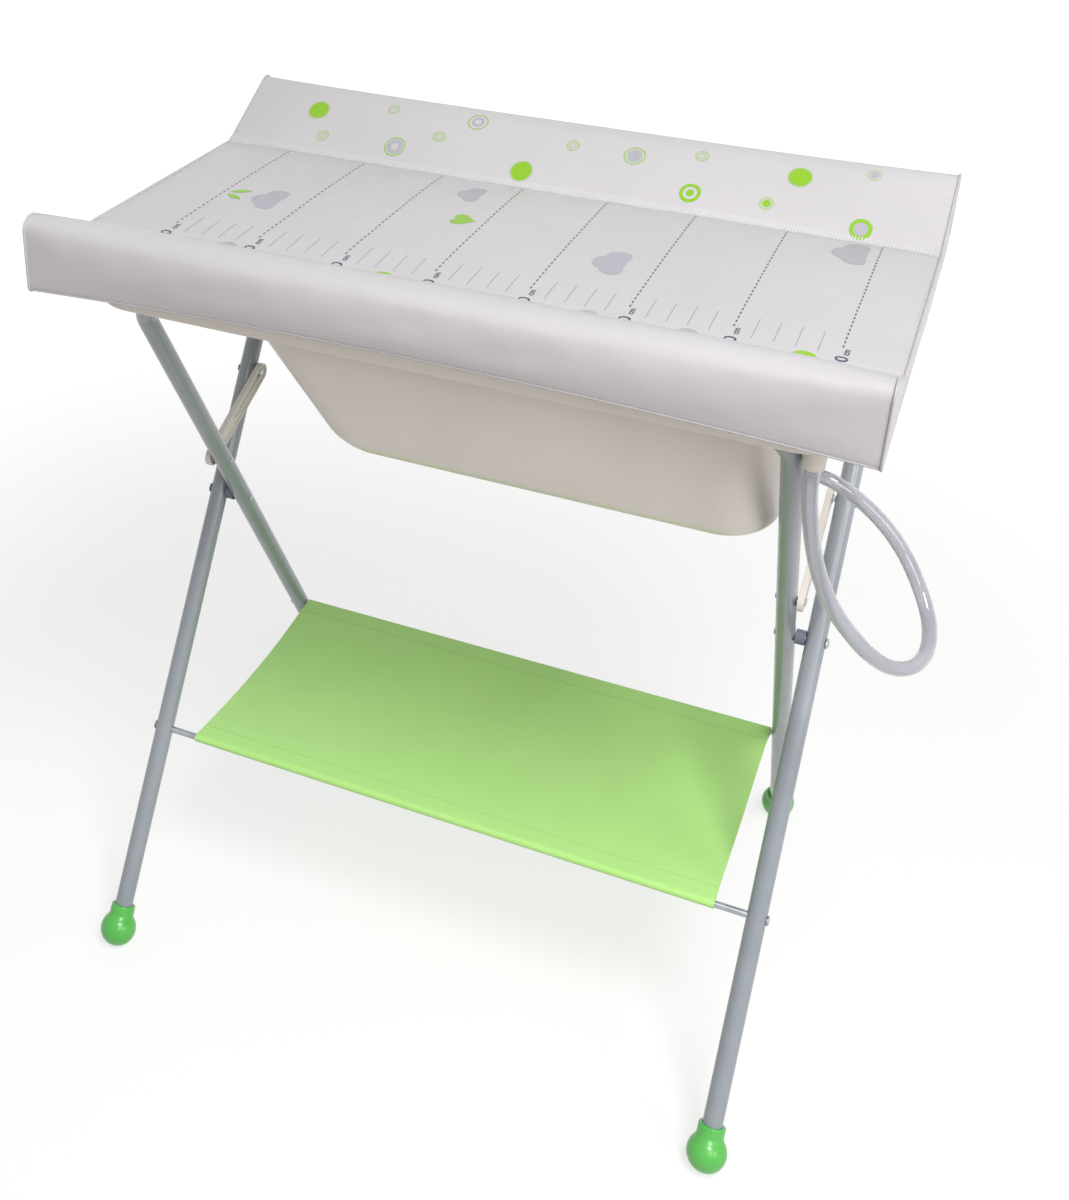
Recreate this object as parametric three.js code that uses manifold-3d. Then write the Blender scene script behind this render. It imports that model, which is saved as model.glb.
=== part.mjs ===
// Folding changing table: a changing mat over a baby bath, on a pair of crossed tube frames with a fabric shelf.
// Millimetres, +Z up, +Y to the rear, origin on the floor under the middle of the stand.
import * as THREE from 'three';
import { mergeVertices } from 'three/addons/utils/BufferGeometryUtils.js';
import Module from 'manifold-3d';

const wasm = await Module();
wasm.setup();

// ---- driving dimensions --------------------------------------------------------------------------------------------

const FIT = 0.3;                                       // gap between pieces that touch

const tube = { radius: 11, wall: 1.2, bendRadius: 45, facets: 16 };
const stand = {
  legAngle: THREE.MathUtils.degToRad(31),              // each leg from the vertical
  pivotHeight: 505,
  barDistance: 425,                                    // pivot to top bar, along the leg
  outerLegX: 374.5,
  innerLegX: 341,
};
const foot = {
  ballRadius: 22, flatRadius: 7.5, collarRadius: 15, collarTop: 30, socketDepth: 38, plugRadius: 8.6,
};
const pivot = {
  shankRadius: 3, headRadius: 6.5, headHeight: 3.2, tailRadius: 4.5, tailHeight: 0.9, spacerRadius: 8.5,
};
const link = {
  outerBolt: 157.5, innerBolt: 91, width: 23, thickness: 4.5, slotWidth: 7, ridge: 2.4, ridgeWidth: 2.4,
};
const linkPin = { shankRadius: 2.6, headRadius: 5, headHeight: 1.6, washerHeight: 1.2, tailHeight: 0.9 };
const shelf = {
  rodDistance: 308, rodRadius: 4, halfWidth: 328, cloth: 1.4, sag: 9, capRadius: 5.6, capHeight: 1.6, capWall: 1.1,
};
const rim = { legRoom: 3.9, barRoom: 3.5, cornerRadius: 50, skirtWall: 2.6, drop: 25, edgeRound: 4 };
const tub = {
  wall: 2.8, depth: 191.6, bottomRound: 24, cornerRadius: 60,
  leftTop: -292.4, leftBottom: -160, rightWall: 326,
  halfDepthTop: 175, halfDepthBottom: 143, lipRound: 8,
};
const soapTray = { centreX: -344, length: 62, width: 118, depth: 9, cornerRadius: 16, spacing: 150 };
const drain = {
  y: -40, aboveFloor: 44, shankRadius: 8, boreRadius: 4, flangeRadius: 12, flangeHeight: 2.4, sealHeight: 1.6,
  nutRadius: 12, nutHeight: 6, shankPast: 2, barbRadius: 5.2, barbLength: 12,
};
const hose = { radius: 7.5, wall: 1.3, sides: 10, steps: 36 };
const holder = { fromEnd: 31, fromFront: 26, radius: 11.5, length: 45.5, socketDepth: 14 };
const mat = {
  halfLength: 423, halfDepth: 270, centreY: -20, seam: 153, rise: 56.5, frontDroop: 13, thickness: 34,
  flatUnderside: 223, edgeLift: 9, edgeBow: 12, topRound: 14, edgeRound: 6, endTaper: 4,
};
const board = { halfLength: 386, halfDepth: 216, thickness: 5, cornerRadius: 20 };
const matHinge = {
  x: 250, width: 34, earWidth: 6, eyeRadius: 5, pinRadius: 2.5, offset: 8, plate: 2.4, leaf: 3, drop: 21,
};

// ---- sizes that follow ----------------------------------------------------------------------------------------------

const ballHeight = Math.sqrt(foot.ballRadius ** 2 - foot.flatRadius ** 2);
const footDistance = (stand.pivotHeight - ballHeight) / Math.cos(stand.legAngle);
const legEnd = footDistance - foot.collarTop + foot.socketDepth;
const barHeight = stand.pivotHeight + stand.barDistance * Math.cos(stand.legAngle);
const barY = stand.barDistance * Math.sin(stand.legAngle);
const rimHalfLength = stand.outerLegX + tube.radius + rim.legRoom + rim.skirtWall;
const rimHalfDepth = barY + tube.radius + rim.barRoom + rim.skirtWall;
const holderX = rimHalfLength - holder.fromEnd;
const holderY = holder.fromFront - rimHalfDepth;
const flangeUnderside = barHeight + tube.radius + FIT;
const rimTop = flangeUnderside + tub.wall;
const skirtBottom = rimTop - rim.drop;
const tubBottom = flangeUnderside - tub.depth;
const drainHeight = tubBottom + drain.aboveFloor;
const holderMouth = flangeUnderside - FIT - holder.length;
const boardBottom = rimTop + FIT;
const boardTop = boardBottom + board.thickness;
const matBottom = boardTop + FIT;
const matSurface = matBottom + mat.thickness;
const legGap = stand.outerLegX - stand.innerLegX - 2 * tube.radius;
const linkX = (stand.outerLegX + stand.innerLegX) / 2;
const hingeY = rimHalfDepth + matHinge.offset;
const hingeZ = rimTop + 0.6;

// ---- materials ------------------------------------------------------------------------------------------------------

const finish = (color, roughness, metalness = 0) => new THREE.MeshStandardMaterial({ color, roughness, metalness });
const looks = {
  tube: () => finish('#b7c2c9', 0.35, 0.3),
  steel: () => finish('#9aa0a4', 0.35, 0.9),
  greenPlastic: () => finish('#4fcf5c', 0.4),
  creamPlastic: () => finish('#ebe7df', 0.35),
  greyPlastic: () => finish('#5d6470', 0.5),
  rubber: () => finish('#6c7076', 0.8),
  hose: () => finish('#cfcdd6', 0.2),
  cloth: () => finish('#a2e07a', 0.9),
  vinyl: () => finish('#e6e3e4', 0.3),
  board: () => finish('#cfcbc6', 0.7),
};

// ---- solids ---------------------------------------------------------------------------------------------------------

// The same surface with shared corners, without the collapsed triangles of a lathe's poles, facing outward.
function closed(geometry) {
  const bare = geometry.clone();
  for (const name of ['normal', 'uv']) bare.deleteAttribute(name);
  const merged = mergeVertices(bare, 1e-4);
  const kept = [];
  const { array } = merged.index;
  for (let i = 0; i < array.length; i += 3) {
    const [a, b, c] = array.slice(i, i + 3);
    if (a !== b && b !== c && c !== a) kept.push(a, b, c);
  }
  merged.setIndex(new THREE.BufferAttribute(new Uint32Array(kept), 1));
  return outward(merged);
}

function solid(geometry) {
  const shared = closed(geometry);
  return new wasm.Manifold(new wasm.Mesh({
    numProp: 3,
    vertProperties: new Float32Array(shared.attributes.position.array),
    triVerts: new Uint32Array(shared.index.array),
  }));
}

function geometryOf(manifold) {
  const mesh = manifold.getMesh();
  const geometry = new THREE.BufferGeometry();
  geometry.setAttribute('position', new THREE.BufferAttribute(new Float32Array(mesh.vertProperties), 3));
  geometry.setIndex(new THREE.BufferAttribute(new Uint32Array(mesh.triVerts), 1));
  return geometry;
}

const join = (first, ...rest) => geometryOf(rest.reduce((sum, item) => sum.add(solid(item)), solid(first)));
const cut = (base, ...tools) => geometryOf(tools.reduce((left, item) => left.subtract(solid(item)), solid(base)));

function outward(geometry) {
  const { array } = geometry.index;
  const position = geometry.attributes.position;
  const corner = [new THREE.Vector3(), new THREE.Vector3(), new THREE.Vector3()];
  let volume = 0;
  for (let i = 0; i < array.length; i += 3) {
    corner.forEach((v, k) => v.fromBufferAttribute(position, array[i + k]));
    volume += corner[0].dot(corner[1].clone().cross(corner[2]));
  }
  if (volume < 0) for (let i = 0; i < array.length; i += 3) [array[i], array[i + 1]] = [array[i + 1], array[i]];
  return geometry;
}

// A closed body through rings of points: sides between neighbouring rings, a flat cap on the first and the last.
function loft(rings) {
  const count = rings[0].length;
  const index = [];
  for (let r = 0; r + 1 < rings.length; r++) {
    for (let i = 0; i < count; i++) {
      const j = (i + 1) % count;
      const [a, b, c, d] = [r * count + i, r * count + j, (r + 1) * count + j, (r + 1) * count + i];
      index.push(a, b, c, a, c, d);
    }
  }
  const normal = flatNormal(rings[0]);
  const [u, v] = planeAxes(normal);
  const caps = [rings[0], rings[rings.length - 1]].map((ring) =>
    THREE.ShapeUtils.triangulateShape(ring.map((p) => new THREE.Vector2(p.dot(u), p.dot(v))), []));
  caps[0].forEach(([a, b, c]) => index.push(a, c, b));
  const last = (rings.length - 1) * count;
  caps[1].forEach(([a, b, c]) => index.push(last + a, last + b, last + c));
  const geometry = new THREE.BufferGeometry().setFromPoints(rings.flat());
  geometry.setIndex(new THREE.BufferAttribute(new Uint32Array(index), 1));
  return outward(geometry);
}

function flatNormal(ring) {
  const normal = new THREE.Vector3();
  ring.forEach((p, i) => normal.add(p.clone().cross(ring[(i + 1) % ring.length])));
  return normal.normalize();
}

function planeAxes(normal) {
  const helper = Math.abs(normal.z) > 0.5 ? new THREE.Vector3(1, 0, 0) : new THREE.Vector3(0, 0, 1);
  const u = helper.clone().cross(normal).normalize();
  return [u, normal.clone().cross(u)];
}

// A rounded rectangle at one height.
function roundedRing(xLow, xHigh, yLow, yHigh, radius, z, steps = 6) {
  const centres = [[xHigh - radius, yHigh - radius], [xLow + radius, yHigh - radius],
    [xLow + radius, yLow + radius], [xHigh - radius, yLow + radius]];
  return centres.flatMap(([cx, cy], quarter) => Array.from({ length: steps + 1 }, (_, k) => {
    const angle = (quarter + k / steps) * Math.PI / 2;
    return new THREE.Vector3(cx + radius * Math.cos(angle), cy + radius * Math.sin(angle), z);
  }));
}

// A flat shape drawn in Y and Z, given a thickness along X from xLow to xHigh.
function slabAlongX(shape, xLow, xHigh, curveSegments = 8) {
  const geometry = new THREE.ExtrudeGeometry(shape, { depth: xHigh - xLow, bevelEnabled: false, curveSegments });
  const axes = new THREE.Matrix4().makeBasis(
    new THREE.Vector3(0, 1, 0), new THREE.Vector3(0, 0, 1), new THREE.Vector3(1, 0, 0));
  return geometry.applyMatrix4(axes).translate(xLow, 0, 0);
}

function rodAlongX(radius, xLow, xHigh, y, z, facets = 16) {
  return new THREE.CylinderGeometry(radius, radius, xHigh - xLow, facets)
    .rotateZ(-Math.PI / 2).translate((xLow + xHigh) / 2, y, z);
}

// A body turned about an axis along X: points are [distance along X, radius], mirrored for a side of -1.
function turnedAlongX(points, side, x, y, z, facets = 16) {
  const profile = points.map(([along, radius]) => new THREE.Vector2(radius, along));
  const body = closed(new THREE.LatheGeometry(profile, facets)).rotateZ(-Math.PI / 2);
  if (side < 0) body.rotateZ(Math.PI);
  return body.translate(x, y, z);
}

// A path whose sections stand exactly at the given stations, with the given directions.
class StationPath extends THREE.Curve {
  constructor(stations) {
    super();
    this.stations = stations;
  }
  station(u) { return this.stations[Math.round(u * (this.stations.length - 1))]; }
  getPoint(u, target = new THREE.Vector3()) { return target.copy(this.station(u).point); }
  getPointAt(u, target) { return this.getPoint(u, target); }
  getTangentAt(u, target = new THREE.Vector3()) { return target.copy(this.station(u).direction); }
}

function ringShape(outerRadius, innerRadius, facets) {
  const circle = (radius) => Array.from({ length: facets }, (_, k) => {
    const angle = (k + 0.5) / facets * 2 * Math.PI;
    return new THREE.Vector2(radius * Math.cos(angle), radius * Math.sin(angle));
  });
  const shape = new THREE.Shape(circle(outerRadius));
  if (innerRadius > 0) shape.holes.push(new THREE.Path(circle(innerRadius)));
  return shape;
}

const group = new THREE.Group();

function piece(parent, name, geometry, material) {
  const mesh = new THREE.Mesh(geometry, material);
  mesh.name = name;
  parent.add(mesh);
  return mesh;
}

const sides = [['left', -1], ['right', 1]];

// ---- crossed frames -------------------------------------------------------------------------------------------------
// Each frame is drawn flat: legs along Z, top bar along X, the pivot at the origin. Its group leans it by the leg angle.

function leaningGroup(angle) {
  const frame = new THREE.Group();
  frame.position.z = stand.pivotHeight;
  frame.rotation.x = angle;
  group.add(frame);
  frame.updateMatrixWorld(true);
  return frame;
}

function bentTube(legX) {
  const bend = tube.bendRadius;
  const steps = 6;
  const stations = [];
  const add = (x, z, dx, dz) =>
    stations.push({ point: new THREE.Vector3(x, 0, z), direction: new THREE.Vector3(dx, 0, dz) });
  add(-legX, -legEnd, 0, 1);
  for (let k = 0; k <= steps; k++) {
    const a = k / steps * Math.PI / 2;
    add(-legX + bend * (1 - Math.cos(a)), stand.barDistance - bend * (1 - Math.sin(a)), Math.sin(a), Math.cos(a));
  }
  for (let k = steps; k >= 0; k--) {
    const a = k / steps * Math.PI / 2;
    add(legX - bend * (1 - Math.cos(a)), stand.barDistance - bend * (1 - Math.sin(a)), Math.sin(a), -Math.cos(a));
  }
  add(legX, -legEnd, 0, -1);
  return new THREE.ExtrudeGeometry(ringShape(tube.radius, tube.radius - tube.wall, tube.facets), {
    steps: stations.length - 1, extrudePath: new StationPath(stations), bevelEnabled: false,
  });
}

// The cross holes go through both walls of both legs.
function drilledTube(legX, holes) {
  const drills = sides.flatMap(([, side]) => holes.map(([radius, z]) =>
    rodAlongX(radius + FIT, side * legX - 2 * tube.radius, side * legX + 2 * tube.radius, 0, z, 12)));
  return cut(bentTube(legX), ...drills);
}

// Ball foot with a collar: the tube stands in its socket round a central plug, and a flat rests on the floor.
function ballFoot(frame, x) {
  const socket = foot.collarTop - foot.socketDepth - FIT;
  const ballTop = Math.sqrt(foot.ballRadius ** 2 - foot.collarRadius ** 2);
  const points = [];
  const start = Math.PI / 2;
  const end = Math.asin(ballTop / foot.ballRadius);
  for (let k = 0; k <= 8; k++) {
    const a = -start + (end + start) * k / 8;
    points.push(new THREE.Vector2(Math.max(0, foot.ballRadius * Math.cos(a)), foot.ballRadius * Math.sin(a)));
  }
  points[0].x = 0;
  points.push(
    new THREE.Vector2(foot.collarRadius, foot.collarTop - 1.5),
    new THREE.Vector2(foot.collarRadius - 1.5, foot.collarTop),
    new THREE.Vector2(tube.radius + FIT, foot.collarTop),
    new THREE.Vector2(tube.radius + FIT, socket),
    new THREE.Vector2(foot.plugRadius, socket),
    new THREE.Vector2(foot.plugRadius, foot.collarTop - 6),
    new THREE.Vector2(0, foot.collarTop - 6));
  const ball = new THREE.LatheGeometry(points, 20).rotateX(Math.PI / 2).translate(x, 0, -footDistance);
  const floor = new THREE.BoxGeometry(100, 100, 60);
  const centre = new THREE.Vector3(x, 0, -footDistance).applyMatrix4(frame.matrixWorld);
  floor.translate(centre.x, centre.y, -30).applyMatrix4(frame.matrixWorld.clone().invert());
  return cut(ball, floor);
}

// Rod of the shelf with a cap pressed on each end, outside the legs.
function shelfRod(legX) {
  return rodAlongX(shelf.rodRadius, -legX - tube.radius - shelf.capHeight, legX + tube.radius + shelf.capHeight,
    0, -shelf.rodDistance, 12);
}

function rodCap(legX, side) {
  const face = tube.radius + FIT;
  const inner = shelf.rodRadius + FIT;
  const end = face + shelf.capHeight;
  const top = end + shelf.capWall;
  return turnedAlongX([[end, 0], [end, inner], [face, inner], [face, shelf.capRadius], [end, shelf.capRadius],
    [top - 0.4, shelf.capRadius * 0.7], [top, 0]], side, side * legX, 0, -shelf.rodDistance);
}

// Rivet: a shank between a domed head and a small tail. from and to are distances along X from the pivot plane.
function rivet(shankRadius, from, to, side, z, head, tail) {
  const points = [[from - tail.height, 0], [from - tail.height, tail.radius * 0.7], [from - tail.height * 0.4, tail.radius],
    [from, tail.radius], [from, shankRadius], [to, shankRadius], [to, head.radius],
    [to + head.height * 0.5, head.radius * 0.88], [to + head.height * 0.9, head.radius * 0.5], [to + head.height, 0]];
  return turnedAlongX(points, side, 0, 0, z);
}

const outerFrame = leaningGroup(-stand.legAngle);
const innerFrame = leaningGroup(stand.legAngle);
const boltHead = { radius: pivot.headRadius, height: pivot.headHeight };
const boltTail = { radius: pivot.tailRadius, height: pivot.tailHeight };
const rodHole = [shelf.rodRadius, -shelf.rodDistance];

piece(outerFrame, 'outer_frame_tube', drilledTube(stand.outerLegX,
  [[pivot.shankRadius, 0], [linkPin.shankRadius, link.outerBolt], rodHole]), looks.tube());
piece(innerFrame, 'inner_frame_tube', drilledTube(stand.innerLegX,
  [[pivot.shankRadius, 0], [linkPin.shankRadius, link.innerBolt], rodHole]), looks.tube());
piece(outerFrame, 'shelf_rod_front', shelfRod(stand.outerLegX), looks.steel());
piece(innerFrame, 'shelf_rod_rear', shelfRod(stand.innerLegX), looks.steel());

for (const [name, side] of sides) {
  piece(outerFrame, `foot_front_${name}`, ballFoot(outerFrame, side * stand.outerLegX), looks.greenPlastic());
  piece(innerFrame, `foot_rear_${name}`, ballFoot(innerFrame, side * stand.innerLegX), looks.greenPlastic());
  piece(outerFrame, `rod_cap_front_${name}`, rodCap(stand.outerLegX, side), looks.steel());
  piece(innerFrame, `rod_cap_rear_${name}`, rodCap(stand.innerLegX, side), looks.steel());
  piece(outerFrame, `pivot_rivet_${name}`, rivet(pivot.shankRadius, stand.innerLegX - tube.radius - FIT,
    stand.outerLegX + tube.radius + FIT, side, 0, boltHead, boltTail), looks.steel());
  const spacer = ringShape(pivot.spacerRadius, pivot.shankRadius + FIT, 16);
  const spacerLow = stand.innerLegX + tube.radius + FIT;
  const spacerGeometry = slabAlongX(spacer, spacerLow, spacerLow + legGap - 2 * FIT);
  if (side < 0) spacerGeometry.translate(-2 * linkX, 0, 0);
  piece(outerFrame, `pivot_spacer_${name}`, spacerGeometry, looks.greyPlastic());
}

// ---- slotted folding links ------------------------------------------------------------------------------------------
// A link turns on a bolt of the inner leg, and a pin of the outer leg slides in its slot.

const onFrame = (frame, distance) => new THREE.Vector3(0, 0, distance).applyMatrix4(frame.matrixWorld);
const linkFoot = onFrame(innerFrame, link.innerBolt);
const linkHead = onFrame(outerFrame, link.outerBolt);
const linkReach = linkFoot.distanceTo(linkHead);
const linkLean = Math.atan2(linkHead.y - linkFoot.y, linkHead.z - linkFoot.z);
const foldedAngle = THREE.MathUtils.degToRad(5);       // between the legs when the stand is shut
const linkShut = Math.sqrt(link.innerBolt ** 2 + link.outerBolt ** 2
  - 2 * link.innerBolt * link.outerBolt * Math.cos(foldedAngle));
const linkLow = linkX - link.thickness / 2;
const linkHigh = linkX + link.thickness / 2;

function capsule(halfWidth, low, high) {
  const shape = new THREE.Shape();
  shape.absarc(0, high, halfWidth, 0, Math.PI);
  shape.absarc(0, low, halfWidth, Math.PI, 2 * Math.PI);
  shape.closePath();
  return shape;
}

// The bar has round ends, a long slot and a raised lip round its edge on the side that faces the bath.
function linkBar() {
  const body = capsule(link.width / 2, 0, linkReach);
  const pinRoom = link.slotWidth / 2;
  body.holes.push(capsule(pinRoom, linkShut - 1, linkReach));
  const eye = new THREE.Path();
  eye.absarc(0, 0, linkPin.shankRadius + FIT, 0, 2 * Math.PI, true);
  body.holes.push(eye);
  const lip = capsule(link.width / 2, 0, linkReach);
  lip.holes.push(capsule(link.width / 2 - link.ridgeWidth, 0, linkReach));
  return join(slabAlongX(body, linkLow, linkHigh, 6), slabAlongX(lip, linkLow - link.ridge, linkLow + 0.5, 6));
}

// Pin that slides in the slot, with a head on the bath side and a washer on the other.
function slidePin() {
  const low = linkLow - FIT;
  const high = linkHigh + FIT;
  return turnedAlongX([[low - linkPin.headHeight, 0], [low - linkPin.headHeight, linkPin.headRadius * 0.7],
    [low - 0.5, linkPin.headRadius], [low, linkPin.headRadius], [low, linkPin.shankRadius],
    [high, linkPin.shankRadius], [high, linkPin.headRadius], [high + linkPin.washerHeight, linkPin.headRadius],
    [high + linkPin.washerHeight, 0]], 1, 0, 0, linkReach, 12);
}

// Bolt of the inner leg: a tail inside, a shoulder that spaces the link off the leg, and a flat head over the link.
function linkFootBolt(side) {
  const inside = stand.innerLegX - tube.radius - FIT;
  const outside = stand.innerLegX + tube.radius + FIT;
  const shoulder = linkLow - FIT;
  const head = linkHigh + FIT;
  return turnedAlongX([[inside - linkPin.tailHeight, 0], [inside - linkPin.tailHeight, linkPin.headRadius * 0.5],
    [inside, linkPin.headRadius * 0.7], [inside, linkPin.shankRadius], [outside, linkPin.shankRadius],
    [outside, linkPin.headRadius * 0.9], [shoulder, linkPin.headRadius * 0.9], [shoulder, linkPin.shankRadius],
    [head, linkPin.shankRadius], [head, linkPin.headRadius], [head + linkPin.headHeight, linkPin.headRadius * 0.7],
    [head + linkPin.headHeight, 0]], side, 0, 0, link.innerBolt, 12);
}

const mirrored = (geometry) => outward(geometry.clone().scale(-1, 1, 1));

const linkGroup = new THREE.Group();
linkGroup.position.copy(linkFoot);
linkGroup.rotation.x = -linkLean;
group.add(linkGroup);

const smallHead = { radius: linkPin.headRadius, height: pivot.headHeight * 0.7 };
const smallTail = { radius: linkPin.headRadius * 0.7, height: linkPin.tailHeight };
for (const [name, side] of sides) {
  const place = (geometry) => (side > 0 ? geometry : mirrored(geometry));
  piece(linkGroup, `link_${name}`, place(linkBar()), looks.creamPlastic());
  piece(linkGroup, `link_pin_${name}`, place(slidePin()), looks.steel());
  piece(outerFrame, `link_bolt_outer_${name}`, rivet(linkPin.shankRadius, stand.outerLegX - tube.radius - FIT,
    stand.outerLegX + tube.radius + FIT, side, link.outerBolt, smallHead, smallTail), looks.steel());
  piece(innerFrame, `link_bolt_inner_${name}`, linkFootBolt(side), looks.steel());
}

// ---- fabric shelf ---------------------------------------------------------------------------------------------------
// One cloth with a sleeve round each rod, hanging in a shallow curve between them.

function shelfCloth() {
  const front = onFrame(outerFrame, -shelf.rodDistance);
  const rear = onFrame(innerFrame, -shelf.rodDistance);
  const inner = shelf.rodRadius + FIT;
  const outer = inner + shelf.cloth;
  const steps = 14;
  const sleeve = (rod, from, to) => Array.from({ length: 13 }, (_, k) => {
    const angle = THREE.MathUtils.degToRad(from + (to - from) * k / 12);
    return new THREE.Vector2(rod.y + outer * Math.cos(angle), rod.z + outer * Math.sin(angle));
  });
  const hanging = (drop) => Array.from({ length: steps - 1 }, (_, k) => {
    const t = (k + 1) / steps;
    const spot = front.clone().lerp(rear, t);
    return new THREE.Vector2(spot.y, spot.z + outer - drop - 4 * shelf.sag * t * (1 - t));
  });
  const shape = new THREE.Shape([...hanging(0), ...sleeve(rear, 90, -220), ...hanging(shelf.cloth).reverse(),
    ...sleeve(front, 40, -270)]);
  const pierced = [front, rear].map((rod) =>
    rodAlongX(inner, -shelf.halfWidth - 1, shelf.halfWidth + 1, rod.y, rod.z, 12));
  return cut(slabAlongX(shape, -shelf.halfWidth, shelf.halfWidth), ...pierced);
}

piece(group, 'shelf_fabric', shelfCloth(), looks.cloth());

// ---- bath -----------------------------------------------------------------------------------------------------------

function rimRing(inset, z) {
  return roundedRing(-rimHalfLength + inset, rimHalfLength - inset, -rimHalfDepth + inset, rimHalfDepth - inset,
    rim.cornerRadius - inset, z, 8);
}

// The tub narrows downwards, most of all at its sloping head end, and turns into its floor by a round edge.
function tubRing(z, inset) {
  const bottom = tubBottom + inset;
  const t = (z - tubBottom) / (rimTop - tubBottom);
  const round = tub.bottomRound - inset * 0.5;
  const up = Math.min(z - bottom, round);
  const pull = inset + round - Math.sqrt(Math.max(0, round ** 2 - (round - up) ** 2));
  const lerp = THREE.MathUtils.lerp;
  const half = lerp(tub.halfDepthBottom, tub.halfDepthTop, t) - pull;
  return roundedRing(lerp(tub.leftBottom, tub.leftTop, t) + pull, tub.rightWall - pull,
    -half, half, Math.max(tub.cornerRadius - pull, 12), z, 6);
}

function tubRings(inset, top) {
  const bottom = tubBottom + inset;
  const round = tub.bottomRound - inset * 0.5;
  const rings = [0, 0.25, 0.5, 0.75, 1].map((k) => tubRing(bottom + round * (1 - Math.cos(k * Math.PI / 2)), inset));
  rings.push(tubRing((bottom + round + top) / 2, inset), tubRing(top, inset));
  return rings;
}

function soapRecess(y, inset, top, depth) {
  const [halfX, halfY] = [soapTray.length / 2 - inset, soapTray.width / 2 - inset];
  const ring = (shrink, z) => roundedRing(soapTray.centreX - halfX + shrink, soapTray.centreX + halfX - shrink,
    y - halfY + shrink, y + halfY - shrink, soapTray.cornerRadius - shrink, z, 4);
  return loft([ring(3, top - depth), ring(0, top - depth + 4), ring(0, top)]);
}

function bathMoulding() {
  const round = rim.edgeRound;
  const shell = loft([rimRing(0, skirtBottom), rimRing(0, rimTop - round), rimRing(round * 0.3, rimTop - round * 0.3),
    rimRing(round, rimTop)]);
  const under = loft([rimRing(rim.skirtWall, skirtBottom - 1), rimRing(rim.skirtWall, flangeUnderside)]);
  const outside = loft(tubRings(0, flangeUnderside + 0.5));
  const inside = loft([...tubRings(tub.wall, rimTop - tub.lipRound), tubRing(rimTop - tub.lipRound * 0.3, tub.wall * 0.4),
    tubRing(rimTop + 1, -tub.lipRound * 0.6)]);
  const trays = [-1, 1].map((s) => s * soapTray.spacing / 2);
  const traysOut = trays.map((y) => soapRecess(y, -tub.wall, flangeUnderside + 0.5, soapTray.depth));
  const traysIn = trays.map((y) => soapRecess(y, 0, rimTop + 1, soapTray.depth + 1));
  const hole = rodAlongX(drain.shankRadius + FIT, tub.rightWall - 40, tub.rightWall + 10, drain.y, drainHeight, 16);
  return cut(join(cut(shell, under), outside, ...traysOut), inside, ...traysIn, hole);
}

piece(group, 'bath_tub', bathMoulding(), looks.creamPlastic());

// ---- drain and hose -------------------------------------------------------------------------------------------------
// The fitting is clamped through the right end wall: flange and seal inside, nut outside, then the barb for the hose.

const inWall = tub.rightWall - tub.wall;
const sealLow = inWall - FIT - drain.sealHeight;
const flangeHigh = sealLow - FIT;
const nutLow = tub.rightWall + FIT;
const shankEnd = nutLow + drain.nutHeight + drain.shankPast;
const barbEnd = shankEnd + drain.barbLength;

function bored(geometry, radius, low, high, facets = 16) {
  return cut(geometry, rodAlongX(radius, low - 1, high + 1, drain.y, drainHeight, facets));
}

function drainSpout() {
  const body = turnedAlongX([[flangeHigh - drain.flangeHeight, 0],
    [flangeHigh - drain.flangeHeight, drain.flangeRadius - 1], [flangeHigh, drain.flangeRadius],
    [flangeHigh, drain.shankRadius], [shankEnd, drain.shankRadius], [shankEnd, drain.barbRadius - 0.6],
    [barbEnd - 6, drain.barbRadius - 0.6], [barbEnd - 6, drain.barbRadius], [barbEnd, drain.barbRadius - 1],
    [barbEnd, 0]], 1, 0, drain.y, drainHeight, 20);
  return bored(body, drain.boreRadius, flangeHigh - drain.flangeHeight, barbEnd);
}

const washer = (low, high, radius, facets) =>
  bored(rodAlongX(radius, low, high, drain.y, drainHeight, facets), drain.shankRadius + FIT, low, high);

piece(group, 'drain_spout', drainSpout(), looks.creamPlastic());
piece(group, 'drain_seal', washer(sealLow, inWall - FIT, drain.flangeRadius - 0.5, 20), looks.rubber());
piece(group, 'drain_nut', washer(nutLow, nutLow + drain.nutHeight, drain.nutRadius, 6), looks.creamPlastic());

// Cup under the rim's front corner that parks the hose's free end.
function hoseHolder() {
  const top = flangeUnderside - FIT;
  const points = [[0, top], [holder.radius + 3, top], [holder.radius + 3, top - 2.5], [holder.radius, top - 6],
    [holder.radius - 1, holderMouth], [hose.radius + FIT + 0.2, holderMouth],
    [hose.radius + FIT + 0.2, holderMouth + holder.socketDepth], [0, holderMouth + holder.socketDepth]];
  const profile = points.map(([radius, z]) => new THREE.Vector2(radius, z));
  return closed(new THREE.LatheGeometry(profile, 24)).rotateX(Math.PI / 2).translate(holderX, holderY, 0);
}

piece(group, 'hose_holder', hoseHolder(), looks.creamPlastic());

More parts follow.
